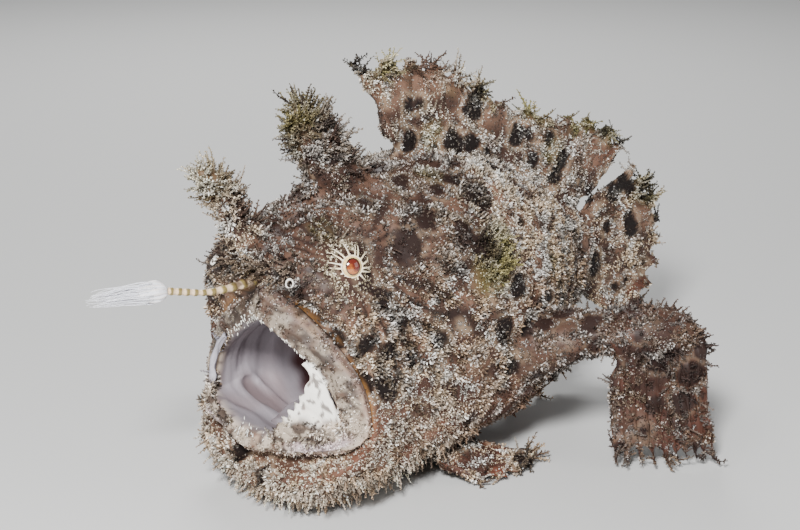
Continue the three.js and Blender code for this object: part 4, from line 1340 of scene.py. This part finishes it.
class FROGFISH_OT_coat(bpy.types.Operator):
    """Covers the skin with forked spinules, in pieces by region"""

    bl_idname = "frogfish.coat"
    bl_label = "Coat of spinules"

    def execute(self, context):
        sizes, palette = context.scene.frogfish_sizes, palette_of(context)
        mesh = bpy.data.objects["skin"].data

        def weight(p, n, values):
            code = np.round(values["kind"])
            bare = bare_skin(p, code, values["row"])
            _, tips = skin_colours(p, code, values["row"], values["reach"], palette)
            spotted = 1 - smooth_step(0.04, 0.14, tips.mean(1))
            return (1 - bare) * (1 - 0.8 * spotted) * smooth_step(0.2, 1.2, p[:, 2])

        count = 150000
        roots = skin_samples(mesh, count, weight, 7, spacing=sizes.coat_gap / MM)
        x, y, _ = roots["p"].T
        kind = roots["kind"]
        material = tinted("spinules", 0.5, shine=0.3)
        body, left = kind == BODY, y < 0
        head, rear = body & (x < TRUNK_START), body & (x >= REAR_START)
        trunk = body & ~head & ~rear
        regions = {
            "coat_fins": kind == FIN,
            "coat_arms_spines": kind > FIN,
            "coat_head_left": head & left,
            "coat_head_right": head & ~left,
            "coat_trunk_left": trunk & left,
            "coat_trunk_right": trunk & ~left,
            "coat_rear": rear,
        }
        for number, (name, mask) in enumerate(regions.items()):
            picked = np.flatnonzero(mask)
            if len(picked) < 50:
                raise RuntimeError("no roots for " + name)
            for part, share in enumerate(np.array_split(picked, -(-len(picked) // TUFTS_A_PIECE))):
                chosen = {key: value[share] for key, value in roots.items()}
                piece = spinule_mesh(f"{name}_{part}", chosen, sizes, palette, 100 + 10 * number + part)
                finish(piece, material, "fin_membrane" if name == "coat_fins" else "skin")
        return {"FINISHED"}


class FROGFISH_OT_tassels(bpy.types.Operator):
    """Adds the branching tassels of the spines, fins, chin, snout, flanks and arms"""

    bl_idname = "frogfish.tassels"
    bl_label = "Tassels"

    def execute(self, context):
        sizes, palette = context.scene.frogfish_sizes, palette_of(context)
        mesh = bpy.data.objects["skin"].data
        long = sizes.tassel_length / MM
        material = tinted("tassels", 0.5, shine=0.3)

        # each of these says how densely tassels stand at points p with normals n and values d
        def second_spine(p, n, d):
            return (np.round(d["kind"]) == SECOND_SPINE) * (0.15 + smooth_step(0.3, 0.8, d["reach"]))

        def third_spine(p, n, d):
            return (np.round(d["kind"]) == THIRD_SPINE) * (0.15 + smooth_step(0.45, 0.8, d["reach"]))

        def fin_edge(p, n, d):
            upper = smooth_step(20, 45, p[:, 2]) * 0.7 + 0.3
            edge = smooth_step(0.86, 0.97, d["reach"]) * (0.1 + d["ridge"])
            return (np.round(d["kind"]) == FIN) * edge * upper

        def chin(p, n, d):
            low = smooth_step(0.6, 2.0, p[:, 2]) * (1 - smooth_step(10, 16, p[:, 2]))
            return (d["kind"] < 0.5) * (d["row"] > COAT_ROW) * low * (1 - smooth_step(-20, -4, p[:, 0]))

        def snout(p, n, d):
            front = near(p, (-57, 0, 56), 10) + 0.5 * (near(p, (-54, -9, 55), 7) + near(p, (-54, 9, 55), 7))
            return (d["kind"] < 0.5) * (d["row"] > COAT_ROW) * front

        def face(p, n, d):
            bare = bare_skin(p, np.round(d["kind"]), d["row"])
            patches = smooth_step(0.0, 0.4, noise(p, 5.5, 92) + 0.6 * noise(p, 2.4, 91))
            return (d["kind"] < 0.5) * (d["row"] > COAT_ROW) * (p[:, 2] > 6) * (bare < 0.2) * patches

        def clump(p, n, d):
            return (d["kind"] < 0.5) * (near(p, CLUMP, 8) + near(p, CLUMP * MIRROR, 8))

        def arm(p, n, d):
            hand = (np.round(d["kind"]) == FIN) * (np.abs(p[:, 1]) > 38) * smooth_step(1, 4, p[:, 2])
            return (np.round(d["kind"]) == ARM) * smooth_step(0.3, 0.7, d["reach"]) + 0.8 * hand

        # name, density, number, share of the longest tassel's length, and the way the tips lean
        plans = [
            ("tassels_second_spine", second_spine, 260, 0.7, (-0.3, 0, 0.5)),
            ("tassels_third_spine", third_spine, 360, 0.7, (-0.2, 0, 0.5)),
            ("tassels_fins", fin_edge, 620, 0.7, (0.1, 0, 0.5)),
            ("tassels_chin", chin, 700, 0.5, (-0.1, 0, -0.6)),
            ("tassels_snout", snout, 150, 0.7, (-0.5, 0, 0.3)),
            ("tassels_body", face, 1500, 0.36, (0.1, 0, 0.1)),
            ("tassels_clump", clump, 200, 0.85, (0.1, 0, 0.6)),
            ("tassels_arms", arm, 900, 0.5, (0.2, 0, 0.0)),
        ]
        for number, (name, weight, count, share, lie) in enumerate(plans):
            roots = skin_samples(mesh, count, weight, 300 + number, spacing=0.9)
            piece = tassel_mesh(name, roots, np.array(lie), long * share, palette, 400 + number)
            finish(piece, material, "fin_membrane" if name == "tassels_fins" else "skin")
        return {"FINISHED"}


def tapered(paths, thick, sides=6):
    """Tubes along paths (n, steps, 3) with half thickness by step, closed by a point at each end.
    Returns the points (n, steps * sides + 2, 3) and the faces of one tube: quads, then triangles."""
    count, steps = paths.shape[:2]
    forward = unit(np.gradient(paths, axis=1))
    a = unit(np.cross(forward, [0.31, 0.17, 0.93]))
    b = np.cross(forward, a)
    turns = np.arange(sides) / sides * TAU
    round_out = a[:, :, None] * np.cos(turns)[:, None] + b[:, :, None] * np.sin(turns)[:, None]
    rings = paths[:, :, None] + round_out * np.broadcast_to(thick, (count, steps))[..., None, None]
    first = paths[:, 0] - forward[:, 0] * np.broadcast_to(thick, (count, steps))[:, :1]
    last = paths[:, -1] + forward[:, -1] * np.broadcast_to(thick, (count, steps))[:, -1:]
    points = np.concatenate([rings.reshape(count, -1, 3), first[:, None], last[:, None]], 1)
    quad, _ = quads(steps, sides, wrap=True)
    i = np.arange(sides)
    j = (i + 1) % sides
    n = steps * sides
    low = np.stack([j, i, np.full(sides, n)], 1)
    high = np.stack([n - sides + i, n - sides + j, np.full(sides, n + 1)], 1)
    return points, quad, np.concatenate([low, high])


EYE_RAYS = 18
RAY_STEPS = 9
RIM_STEPS = 64
# Radius of the rim round the cornea, and how far it stands out from the eye's centre
RIM_RADIUS = 2.42
RIM_STANDS_OUT = 1.95
# How much taller than wide the pupil is
PUPIL_OVAL = 1.22


def eye_ball(name, centre, axis, palette):
    """A ball whose colours are rings of the angle from its axis: a dark red pupil with painted orange light
    in its lower part, a black line, an amber iris, and brown behind."""
    points, faces, uv = closed_tube(*ball_points(centre, EYE_RADIUS - 0.05, 96, 128), (0, 0), (1, 1))
    q = unit(points - centre)
    across = unit(np.cross(axis, [0, 0, 1.0]))
    up = np.cross(across, axis)
    angle = np.degrees(np.arctan2(np.hypot(q @ across * PUPIL_OVAL, q @ up), q @ axis))
    tint = blend(plain(palette["iris"], len(points)), palette["brown"], smooth_step(50, 56, angle))
    tint = blend(tint, palette["spot"], 1 - smooth_step(38.5, 40.5, angle))
    pupil = 1 - smooth_step(30, 36, angle)
    tint = blend(tint, palette["pupil"], pupil)
    # painted light: orange in the pupil's lower part stands in for light shining into the eye
    light = smooth_step(-0.1, 0.4, q @ across * 0.4 - (q @ up) * 0.8 + 0.25 * noise(points, 0.5, 3))
    tint = blend(tint, palette["glow"], pupil * light * 0.6)
    return tidy_normals(new_object(name, points, faces, uv, tint=tint))


def eye_rays(name, flip, axis, palette, rng):
    """The pale rim, a ring round the cornea, and the rays, which run from it over the orbit as arcs of
    growing polar angle round the eye's axis, bent and roughened."""
    across = unit(np.cross(axis, [0, 0, 1.0]))
    up = np.cross(across, axis)
    turns = np.arange(RIM_STEPS) / RIM_STEPS * TAU
    spread = np.stack([np.cos(turns), np.sin(turns)], -1) @ np.stack([across, up])
    ring_path = EYE * flip + axis * RIM_STANDS_OUT + spread * RIM_RADIUS
    ring_path = np.concatenate([ring_path, ring_path[:1]])[None]
    rim_thick = 0.14 + 0.04 * np.sin(np.linspace(0, 11 * TAU, RIM_STEPS + 1))
    rim, rim_quads, rim_ends = tapered(ring_path, rim_thick)
    starts = (np.arange(EYE_RAYS) + 0.35 * rng.random(EYE_RAYS)) / EYE_RAYS * TAU
    along_ray = np.linspace(0, 1, RAY_STEPS)
    polar = np.radians(30 + 74 * along_ray) * (0.75 + 0.35 * rng.random((EYE_RAYS, 1)))
    polar[:, 0] = np.radians(30)
    turn = starts[:, None] + 0.12 * rng.normal(size=(EYE_RAYS, 1)) * along_ray
    around = np.cos(turn)[..., None] * across + np.sin(turn)[..., None] * up
    outward = np.cos(polar)[..., None] * axis + np.sin(polar)[..., None] * around
    paths = ORBIT * flip + (ORBIT_RADIUS + 0.1 + along_ray)[:, None] * outward
    paths = paths + 0.12 * rng.normal(size=paths.shape) * along_ray[:, None]
    rays, ray_quads, ray_ends = tapered(paths, 0.24 - 0.18 * along_ray)
    stride, first = rays.shape[1], rim.shape[1]
    points = np.concatenate([rim.reshape(-1, 3), rays.reshape(-1, 3)])
    faces = [rim_quads, rim_ends] + [repeated(f, EYE_RAYS, stride) + first for f in (ray_quads, ray_ends)]
    tint = plain(palette["eye_ray"], len(points))
    tint = blend(tint, palette["white"], smooth_step(-0.2, 0.6, noise(points, 0.8, 5)) * 0.6)
    return tidy_normals(new_object(name, points, faces, tint=tint))


class FROGFISH_OT_eyes(bpy.types.Operator):
    """Sets an eye in each socket, with a pale rim and pale rays that lie on the skin around it"""

    bl_idname = "frogfish.eyes"
    bl_label = "Eyes"

    def execute(self, context):
        palette = palette_of(context)
        material = tinted("wet eye", 0.06, coat=1.0)
        rim_material = tinted("eye rim", 0.35, coat=0.2)
        rng = np.random.default_rng(21)
        for side, flip in (("left", 1), ("right", MIRROR)):
            axis = EYE_AXIS * flip
            ball = eye_ball(f"eye_{side}_ball", EYE * flip, axis, palette)
            finish(ball, material, "eye", "eye_" + side)
            finish(eye_rays("eye_rays_" + side, flip, axis, palette, rng), rim_material, "skin")
        return {"FINISHED"}


def cones(feet, axes, length, width, rng, sides=6):
    """Small cones with a rounded shoulder: a ring at the foot, one at half the length, and a tip."""
    a, b = cross_frame(axes, rng)
    turns = np.arange(sides) / sides * TAU
    ring_of = np.cos(turns)[None, :, None] * a[:, None] + np.sin(turns)[None, :, None] * b[:, None]
    low = feet[:, None] + ring_of * width[:, None, None]
    high = (feet + axes * (length * 0.55)[:, None])[:, None] + ring_of * (width * 0.7)[:, None, None]
    points = np.concatenate([low, high, (feet + axes * length[:, None])[:, None], feet[:, None]], 1)
    quad, _ = quads(2, sides, wrap=True)
    i = np.arange(sides)
    j = (i + 1) % sides
    top = np.stack([sides + i, sides + j, np.full(sides, 2 * sides)], 1)
    foot = np.stack([j, i, np.full(sides, 2 * sides + 1)], 1)
    tris = np.concatenate([quad[:, [0, 1, 2]], quad[:, [0, 2, 3]], top, foot])
    return points.reshape(-1, 3), repeated(tris, len(feet), 2 * sides + 2)


TONGUE = {
    "path": [(-47, 0, 16.4), (-38, 0, 17), (-28, 0, 19)],
    "radii": [[0, 4.6, 1.8], [0.5, 7.6, 3.0], [1, 6.2, 2.4]],
    "side": (0, 1, 0),
}
# Rows of teeth: first and last turn, number, up or down, and row of the lip
TOOTH_ROWS = (
    (0.08, 0.42, 84, -1, 6.8),
    (0.1, 0.4, 50, -1, 6.3),
    (0.6, 0.9, 70, 1, 6.8),
    (0.62, 0.88, 40, 1, 6.3),
)
NOSTRIL = np.array([-55.2, -12.4, 55.3])
NOSTRIL_AXIS = np.array([-0.6, -0.55, 0.58])


def tongue_pad(palette):
    """The tongue: a low limb along the mouth's floor, roughened by noise."""
    t, turn = np.meshgrid(np.linspace(0, 1, 50), np.arange(64) / 64 * TAU, indexing="ij")
    rings = limb_points(TONGUE, t, turn)
    rings = rings + unit(rings - curve(TONGUE["path"], t)) * 0.25 * noise(rings, 2.5, 9)[..., None]
    ends = curve(TONGUE["path"], [0, 1]) + np.array([[-1.0, 0, 0], [1.0, 0, 0]])
    points, faces, uv = closed_tube(rings, ends, (0, 0), (1, 1))
    clouds = smooth_step(-0.2, 0.7, noise(points, 3.5, 8))
    tint = blend(plain(palette["lining"], len(points)), palette["lining_dark"], clouds * 0.6)
    return tidy_normals(new_object("tongue_pad", points, faces, uv, tint=tint))


def small_teeth(palette, rng):
    """Two uneven rows of small cones inside each lip, more of them in the upper one."""
    feet, axes = [], []
    for low, high, count, way, row in TOOTH_ROWS:
        turns = low + (high - low) * (np.arange(count) + 0.7 * rng.random(count)) / count
        feet.append(on_body(row + 0.2 * rng.normal(size=count), turns))
        axes.append(unit(np.array([0.35, 0, way]) + 0.25 * rng.normal(size=(count, 3))))
    feet, axes = np.concatenate(feet), np.concatenate(axes)
    kept = rng.random(len(feet)) < np.where(feet[:, 2] > 26, 0.65, 0.3)
    feet, axes = feet[kept], axes[kept]
    length = 0.6 + 0.6 * rng.random(len(feet))
    points, faces = cones(feet - axes * 0.3, axes, length, np.full(len(feet), 0.14), rng)
    return new_object("teeth", points, [faces], tint=plain(palette["tooth"], len(points)))


def nostril_rings(palette, around=40, across=20):
    """A small oval ring on each side of the snout: the sum of an ellipse and a thin tube round it."""
    s, r = np.meshgrid(np.arange(around) / around * TAU, np.arange(across) / across * TAU, indexing="ij")
    rings = []
    for flip in (1, MIRROR):
        axis = unit(NOSTRIL_AXIS * flip)
        a = unit(np.cross(axis, [0, 0, 1.0]))
        b = np.cross(axis, a)
        out = a * np.cos(s)[..., None] * 0.78 + b * np.sin(s)[..., None] * 1.05
        tube = out * (1 + 0.24 * np.cos(r))[..., None] + axis * (0.45 * np.sin(r) + 0.35)[..., None]
        rings.append((NOSTRIL * flip + tube).reshape(-1, 3))
    faces, _ = quads(around + 1, across, wrap=True)
    faces = faces % (around * across)
    points = np.concatenate(rings)
    faces = [faces, faces + around * across]
    return tidy_normals(new_object("nostrils", points, faces, tint=plain(palette["white"], len(points))))


class FROGFISH_OT_mouth(bpy.types.Operator):
    """Adds the tongue, the rows of small teeth and the nostril tubes"""

    bl_idname = "frogfish.mouth"
    bl_label = "Mouth and nostrils"

    def execute(self, context):
        palette = palette_of(context)
        finish(tongue_pad(palette), tinted("wet lining", 0.25, coat=0.4), "mouth_lining", "tongue")
        finish(small_teeth(palette, np.random.default_rng(5)), tinted("teeth", 0.25), "mouth_lining")
        finish(nostril_rings(palette), tinted("nostril skin", 0.4), "skin")
        return {"FINISHED"}


ROD = {
    "path": [(-54.5, 0, 53.2), (-67.5, 0.6, 53.4), (-76.2, 3, 55.1)],
    "radii": [[0, 1.15, 1.15], [0.5, 0.75, 0.75], [1, 0.8, 0.8]],
    "side": (0, 1, 0),
}
# Turns of phase along the rod's swellings and bands
ROD_BANDS = 60
LURE_AXIS = np.array([-0.96, 0.27, 0.09])
LURE_LENGTH = 18.6
BULB_SHARE = 0.46
FILAMENTS = 64


def banded_rod(palette):
    """The rod: a thin limb whose thickness and colour swing as a sine of the share of its length, with
    skin-coloured blotches near its root."""
    t, turn = np.meshgrid(np.linspace(0, 1, 120), np.arange(20) / 20 * TAU, indexing="ij")
    rings = limb_points(ROD, t, turn)
    swell = 1 + 0.12 * np.sin(t * ROD_BANDS) + 0.1 * noise(rings, 1.2, 2)
    middle = curve(ROD["path"], t)
    rings = middle + (rings - middle) * swell[..., None]
    root, tip = np.array(ROD["path"][0]), np.array(ROD["path"][-1])
    ends = np.stack([root + [0.5, 0, 0], tip + [-0.4, 0.1, 0]])
    points, faces, uv = closed_tube(rings, ends, (0, 0), (1, 1))
    band = np.concatenate([np.sin(t * ROD_BANDS).ravel(), [0, 0]])
    bands = smooth_step(-0.1, 0.4, band + 0.4 * noise(points, 1.0, 4))
    tint = blend(plain(palette["cream"], len(points)), palette["rod_dark"], bands)
    blotches = smooth_step(-63, -59, points[:, 0]) * smooth_step(-0.6, 0.3, noise(points, 0.8, 6))
    tint = blend(tint, palette["brown"], blotches * 0.85)
    return tidy_normals(new_object("rod", points, faces, uv, tint=tint))


def lure_object(palette, rng):
    """The lure: a grooved bulb of revolution round its axis, and filaments that leave its surface and
    run on ahead in slight waves, each thinner towards its end."""
    foot = np.array(ROD["path"][-1]) + unit(LURE_AXIS) * 0.5
    axis = unit(LURE_AXIS)
    a = unit(np.cross(axis, [0, 0, 1.0]))
    b = np.cross(axis, a)
    bulb_length = LURE_LENGTH * BULB_SHARE

    def bulb_radius(share):
        return 0.75 + 1.75 * np.sin(np.pi * np.clip(share, 0, 1) ** 0.75) ** 0.8 * (1 - 0.25 * share)

    t, turn = np.meshgrid(np.linspace(0, 1, 60), np.arange(60) / 60 * TAU, indexing="ij")
    round_out = a * np.cos(turn)[..., None] + b * np.sin(turn)[..., None]
    stripes = np.sin(turn * 14 + 3 * t)
    grooves = 1 + 0.07 * stripes + 0.05 * np.sin(turn * 5 + 9 * t)
    rings = foot + axis * (t * bulb_length)[..., None] + round_out * (bulb_radius(t) * grooves)[..., None]
    ends = foot + axis * np.array([[-0.4], [bulb_length + 0.8]])
    bulb, bulb_faces, _ = closed_tube(rings, ends, (0, 0), (1, 1))
    stripes = smooth_step(0.1, 0.9, np.concatenate([stripes.ravel(), [0, 0]]))
    bulb_tint = blend(plain(palette["lure"], len(bulb)), palette["cream"], stripes * 0.35)

    turns = rng.random(FILAMENTS) * TAU
    start = 0.35 + 0.62 * rng.random(FILAMENTS)
    reach = LURE_LENGTH * (0.62 + 0.36 * rng.random(FILAMENTS))
    steps = np.linspace(0, 1, 12)
    out = a * np.cos(turns)[:, None] + b * np.sin(turns)[:, None]
    from_foot = start * bulb_length
    ahead = from_foot[:, None] + (reach - from_foot)[:, None] * steps
    wide = bulb_radius(start)[:, None] * (1 - 0.35 * steps) * (0.85 + 0.3 * rng.random((FILAMENTS, 1)))
    wave = 0.3 * np.sin(steps * 7 + rng.random((FILAMENTS, 1)) * TAU) * steps
    path = foot + axis * ahead[..., None] + out[:, None] * (wide + wave)[..., None]
    sag = np.array([0, 0, 0.8]) * steps[:, None] ** 2
    path = path + np.cross(axis, out)[:, None] * (wave * 0.8)[..., None] - sag
    threads, thread_quads, thread_ends = tapered(path, 0.16 * (1 - 0.72 * steps), sides=5)
    stride = threads.shape[1]
    first = FILAMENTS * stride
    points = np.concatenate([threads.reshape(-1, 3), bulb])
    faces = [repeated(f, FILAMENTS, stride) for f in (thread_quads, thread_ends)]
    faces += [f + first for f in bulb_faces]
    tint = np.concatenate([plain(palette["lure"], first), bulb_tint])
    return tidy_normals(new_object("lure", points, faces, tint=tint))


class FROGFISH_OT_lure(bpy.types.Operator):
    """Makes the thin banded rod and the lure of fine filaments at its end"""

    bl_idname = "frogfish.lure"
    bl_label = "Rod and lure"

    def execute(self, context):
        palette = palette_of(context)
        finish(banded_rod(palette), tinted("rod skin", 0.35, coat=0.3), "lure_rod", "illicium")
        material = tinted("lure filaments", 0.35)
        shader = material.node_tree.nodes["Principled BSDF"]
        shader.inputs["Subsurface Weight"].default_value = 0.4
        shader.inputs["Subsurface Radius"].default_value = (0.002, 0.0018, 0.0018)
        shader.inputs["Subsurface Scale"].default_value = 1.0
        finish(lure_object(palette, np.random.default_rng(11)), material, "lure", "esca")
        return {"FINISHED"}


FLOOR_HALF = 3.0


def area_light(name, place, energy, size, target=(0, 0, 0.035)):
    """A square soft light at a place, turned to a target."""
    light = bpy.data.lights.new(name, "AREA")
    light.energy = energy
    light.size = size
    obj = bpy.data.objects.new(name, light)
    obj.location = place
    obj.rotation_euler = (Vector(target) - Vector(place)).to_track_quat("-Z", "Y").to_euler()
    bpy.context.scene.collection.objects.link(obj)


class FROGFISH_OT_stage(bpy.types.Operator):
    """Sets the floor, soft lights and the camera"""

    bl_idname = "frogfish.stage"
    bl_label = "Floor, lights and camera"

    def execute(self, context):
        scene = context.scene
        mesh = bpy.data.meshes.new("floor")
        corners = [(-1, -1), (1, -1), (1, 1), (-1, 1)]
        mesh.from_pydata([(x * FLOOR_HALF, y * FLOOR_HALF, 0) for x, y in corners], [], [(0, 1, 2, 3)])
        floor = bpy.data.objects.new("floor", mesh)
        scene.collection.objects.link(floor)
        material, shader = principled("pale floor")
        shader.inputs["Base Color"].default_value = (0.62, 0.62, 0.61, 1)
        shader.inputs["Roughness"].default_value = 0.8
        mesh.materials.append(material)

        area_light("key", (-0.42, -0.30, 0.40), 8.2, 0.10)
        area_light("fill", (0.25, -0.6, 0.25), 0.9, 0.4)
        area_light("front", (-0.6, -0.1, 0.14), 1.4, 0.25, (-0.045, 0, 0.03))
        area_light("rim", (0.35, 0.45, 0.45), 3.0, 0.3)
        world = scene.world or bpy.data.worlds.new("studio")
        scene.world = world
        world.use_nodes = True
        sky = world.node_tree.nodes["Background"]
        sky.inputs["Color"].default_value = (0.80, 0.82, 0.85, 1)
        sky.inputs["Strength"].default_value = 0.22

        camera = bpy.data.objects.new("camera", bpy.data.cameras.new("camera"))
        scene.collection.objects.link(camera)
        turn = Matrix(np.stack(view_axes(), axis=1).tolist()).to_4x4()
        turn.translation = Vector(CAMERA_PLACE * MM + SHIFT)
        camera.matrix_world = turn
        camera.data.lens = LENS
        camera.data.sensor_width = SENSOR
        camera.data.clip_start = 0.01
        camera.data.dof.use_dof = False
        scene.camera = camera
        return {"FINISHED"}


STEPS = ("skin", "coat", "tassels", "eyes", "mouth", "lure", "stage")


class FROGFISH_PT_panel(bpy.types.Panel):
    """Lists the pieces, sizes and colours in the sidebar"""

    bl_idname = "FROGFISH_PT_panel"
    bl_label = "Frogfish"
    bl_space_type = "VIEW_3D"
    bl_region_type = "UI"
    bl_category = "Frogfish"

    def draw(self, context):
        for step in STEPS:
            self.layout.operator("frogfish." + step)
        for key in FrogfishSizes.__annotations__:
            self.layout.prop(context.scene.frogfish_sizes, key)
        for key in PALETTE:
            self.layout.prop(context.scene.frogfish_colours, key)


CLASSES = (
    FrogfishSizes,
    FrogfishColours,
    FROGFISH_OT_skin,
    FROGFISH_OT_coat,
    FROGFISH_OT_tassels,
    FROGFISH_OT_eyes,
    FROGFISH_OT_mouth,
    FROGFISH_OT_lure,
    FROGFISH_OT_stage,
    FROGFISH_PT_panel,
)


def register():
    for cls in CLASSES:
        bpy.utils.register_class(cls)
    bpy.types.Scene.frogfish_sizes = bpy.props.PointerProperty(type=FrogfishSizes)
    bpy.types.Scene.frogfish_colours = bpy.props.PointerProperty(type=FrogfishColours)


def unregister():
    del bpy.types.Scene.frogfish_colours
    del bpy.types.Scene.frogfish_sizes
    for cls in reversed(CLASSES):
        bpy.utils.unregister_class(cls)


def main():
    register()
    for step in STEPS:
        getattr(bpy.ops.frogfish, step)()


if __name__ == "__main__":
    main()
